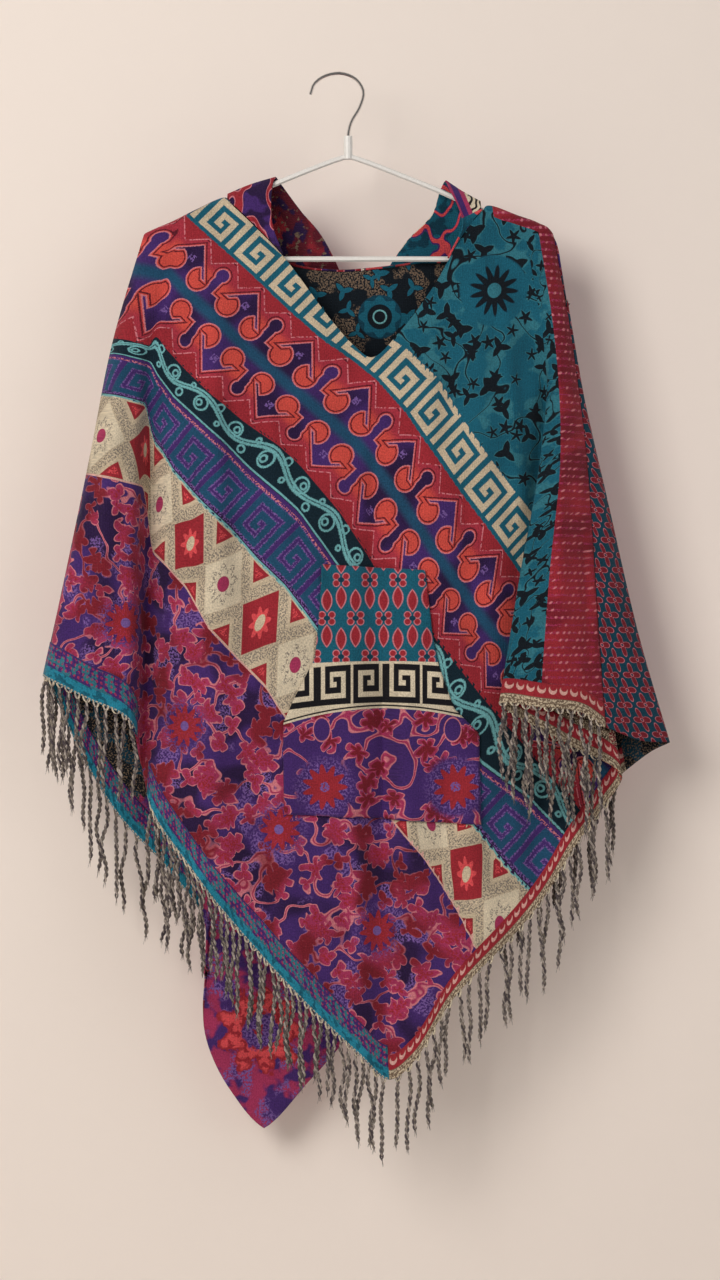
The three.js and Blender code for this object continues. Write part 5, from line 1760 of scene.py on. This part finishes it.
LAMPS: tuple[Lamp, ...] = (
    Lamp("key", (-1.5, -2.4, 0.7), 1.5, 60, (1.0, 0.96, 0.92)),
    Lamp("fill", (1.9, -2.0, 0.3), 1.8, 14, (0.96, 0.97, 1.0)),
    Lamp("back_soft", (0.4, 2.6, 0.6), 2.0, 34, (1.0, 0.98, 0.96)),
)


@dataclass
class Studio:
    """Camera, wall, floor and soft lights. Lengths are in metres."""

    aim: Station = (0.019, 0.0, -0.569)
    distance: float = 3.0
    frame_height: float = 1.28
    middle_out: float = 0.02
    sensor: float = 36.0
    reach: float = 3.0
    wall_back: float = 0.085
    wall_top: float = 1.8
    floor_level: float = -1.4

    def camera(self) -> None:
        """Makes the camera, level and square to the wall."""
        data = bpy.data.cameras.new("camera")
        data.lens = self.sensor * (self.distance - self.middle_out) / self.frame_height
        data.sensor_width = self.sensor
        made = bpy.data.objects.new("camera", data)
        made.location = (self.aim[0], self.aim[1] - self.distance, self.aim[2])
        made.rotation_euler = (math.pi / 2, 0, 0)
        bpy.context.scene.collection.objects.link(made)
        bpy.context.scene.camera = made

    def light(self, lamp: Lamp) -> None:
        """Makes a light aimed at the part."""
        data = bpy.data.lights.new(lamp.name, "AREA")
        data.shape, data.size, data.energy, data.color = "SQUARE", lamp.size, lamp.power, lamp.colour
        made = bpy.data.objects.new(lamp.name, data)
        made.location = lamp.at
        x, y, z = np.array(self.aim) - np.array(lamp.at)
        made.rotation_euler = (math.atan2(math.hypot(x, y), -z), 0, math.atan2(x, -y) + math.pi)
        bpy.context.scene.collection.objects.link(made)

    def one_sided(self) -> Material:
        """The pale wall's paint, which is clear from behind and lets the light behind it through."""
        material = plain("pale_wall", (0.90, 0.81, 0.74))
        nodes, links = material.node_tree.nodes, material.node_tree.links
        facing, path, either = (
            nodes.new("ShaderNode" + kind) for kind in ("NewGeometry", "LightPath", "Math"))
        clear, mix = nodes.new("ShaderNodeBsdfTransparent"), nodes.new("ShaderNodeMixShader")
        either.operation = "MAXIMUM"
        for output, wanted in (
            (facing.outputs["Backfacing"], either.inputs[0]), (path.outputs["Is Shadow Ray"], either.inputs[1]),
            (either.outputs[0], mix.inputs[0]), (nodes["Principled BSDF"].outputs[0], mix.inputs[1]),
            (clear.outputs[0], mix.inputs[2]), (mix.outputs[0], nodes["Material Output"].inputs["Surface"]),
        ):
            links.new(output, wanted)
        return material

    def backdrop(self, name: str, corners: Sequence[Station], material: Material) -> None:
        """Makes one flat face of the room."""
        bm = bmesh.new()
        bm.faces.new([bm.verts.new(corner) for corner in corners])
        mesh = bpy.data.meshes.new(name)
        bm.to_mesh(mesh)
        bm.free()
        made = bpy.data.objects.new(name, mesh)
        made.data.materials.append(material)
        bpy.context.scene.collection.objects.link(made)

    def build(self) -> None:
        """Sets the studio up."""
        self.camera()
        far, back, low, top = self.reach, self.wall_back, self.floor_level, self.wall_top
        wall = ((-far, back, low), (far, back, low), (far, back, top), (-far, back, top))
        self.backdrop("wall", wall, self.one_sided())
        floor = ((-far, -far, low), (far, -far, low), (far, far, low), (-far, far, low))
        self.backdrop("floor", floor, plain("pale_floor", (0.8, 0.76, 0.72)))
        for lamp in LAMPS:
            self.light(lamp)
        world = bpy.data.worlds.new("room")
        world.use_nodes = True
        background = world.node_tree.nodes["Background"]
        background.inputs[0].default_value, background.inputs[1].default_value = (0.86, 0.83, 0.80, 1), 0.18
        bpy.context.scene.world = world
        bpy.context.scene.view_settings.view_transform = "Standard"


def hem_fringes(front: FoldSheet, back: FoldSheet) -> list[Piece]:
    """Builds the six fringed hems: the front's four, then the back's two."""
    yarns = (
        ply("ply_dark", Shade.SMOKE, Shade.STONE), ply("ply_light", Shade.ASH, Shade.SMOKE),
        ply("cream_thread", Shade.IVORY, Shade.ASH),
    )
    teal = ("hem_teal", 34, teal_strip("teal_hem_strip"))
    red = ("hem_red", 24, moon_strip("red_hem_strip"))
    made = []
    for (slot, height, weave), hem in (
        (teal, Hem("left_sleeve_fringe", "fringe_left_sleeve", front, (0, 3.4), (0.1, 3.2), 12, 0)),
        (teal, Hem("front_left_fringe", "fringe_front_left", front, (4.6, 12), (4.75, 11.95), 38, 100)),
        (red, Hem("front_right_fringe", "fringe_front_right", front, (12, 19), (12.1, 18.3), 24, 200)),
        (red, Hem("right_sleeve_fringe", "fringe_right_sleeve", front, (19, 24), (19.5, 23.9), 20, 300)),
        (teal, Hem("back_left_fringe", "fringe_back_left", back, (0, 4.8), (0.2, 4.7), 17, 400)),
        (red, Hem("back_right_fringe", "fringe_back_right", back, (13, 17), (13.1, 16.8), 13, 500)),
    ):
        made.append(HemFringe(hem, slot, height).build(weave, yarns))
    return made


def main() -> None:
    """Builds the studio, then each piece of the poncho."""
    logging.basicConfig(level=logging.INFO, format="%(message)s")
    Studio().build()
    front = FoldSheet(Side.FRONT, FRONT_FOLDS, FRONT_CREASES, len(FRONT_FOLDS))
    back = FoldSheet(Side.BACK, BACK_FOLDS, BACK_CREASES, 19, corner_drop=7.0)
    front_cloth = FrontPanel("front_cloth", front, "front_panel", "cloth_front", 8).build()
    back_cloth = BackPanel("back_cloth", back, "back_panel", "cloth_back", 9).build()
    hood_left, hood_right = (half.build(front, back) for half in (
        HoodHalf("hood_left_cloth", -1, HOOD_LEFT_RIBS, (8.06, 9), (6.06, 9.97), "hood_left"),
        HoodHalf("hood_right_cloth", 1, HOOD_RIGHT_RIBS, (15.94, 14.5), (14.94, 10.03), "hood_right"),
    ))
    pocket = Pocket().build(front_cloth)
    hanger_finishes()
    hems = hem_fringes(front, back)


if __name__ == "__main__":
    main()
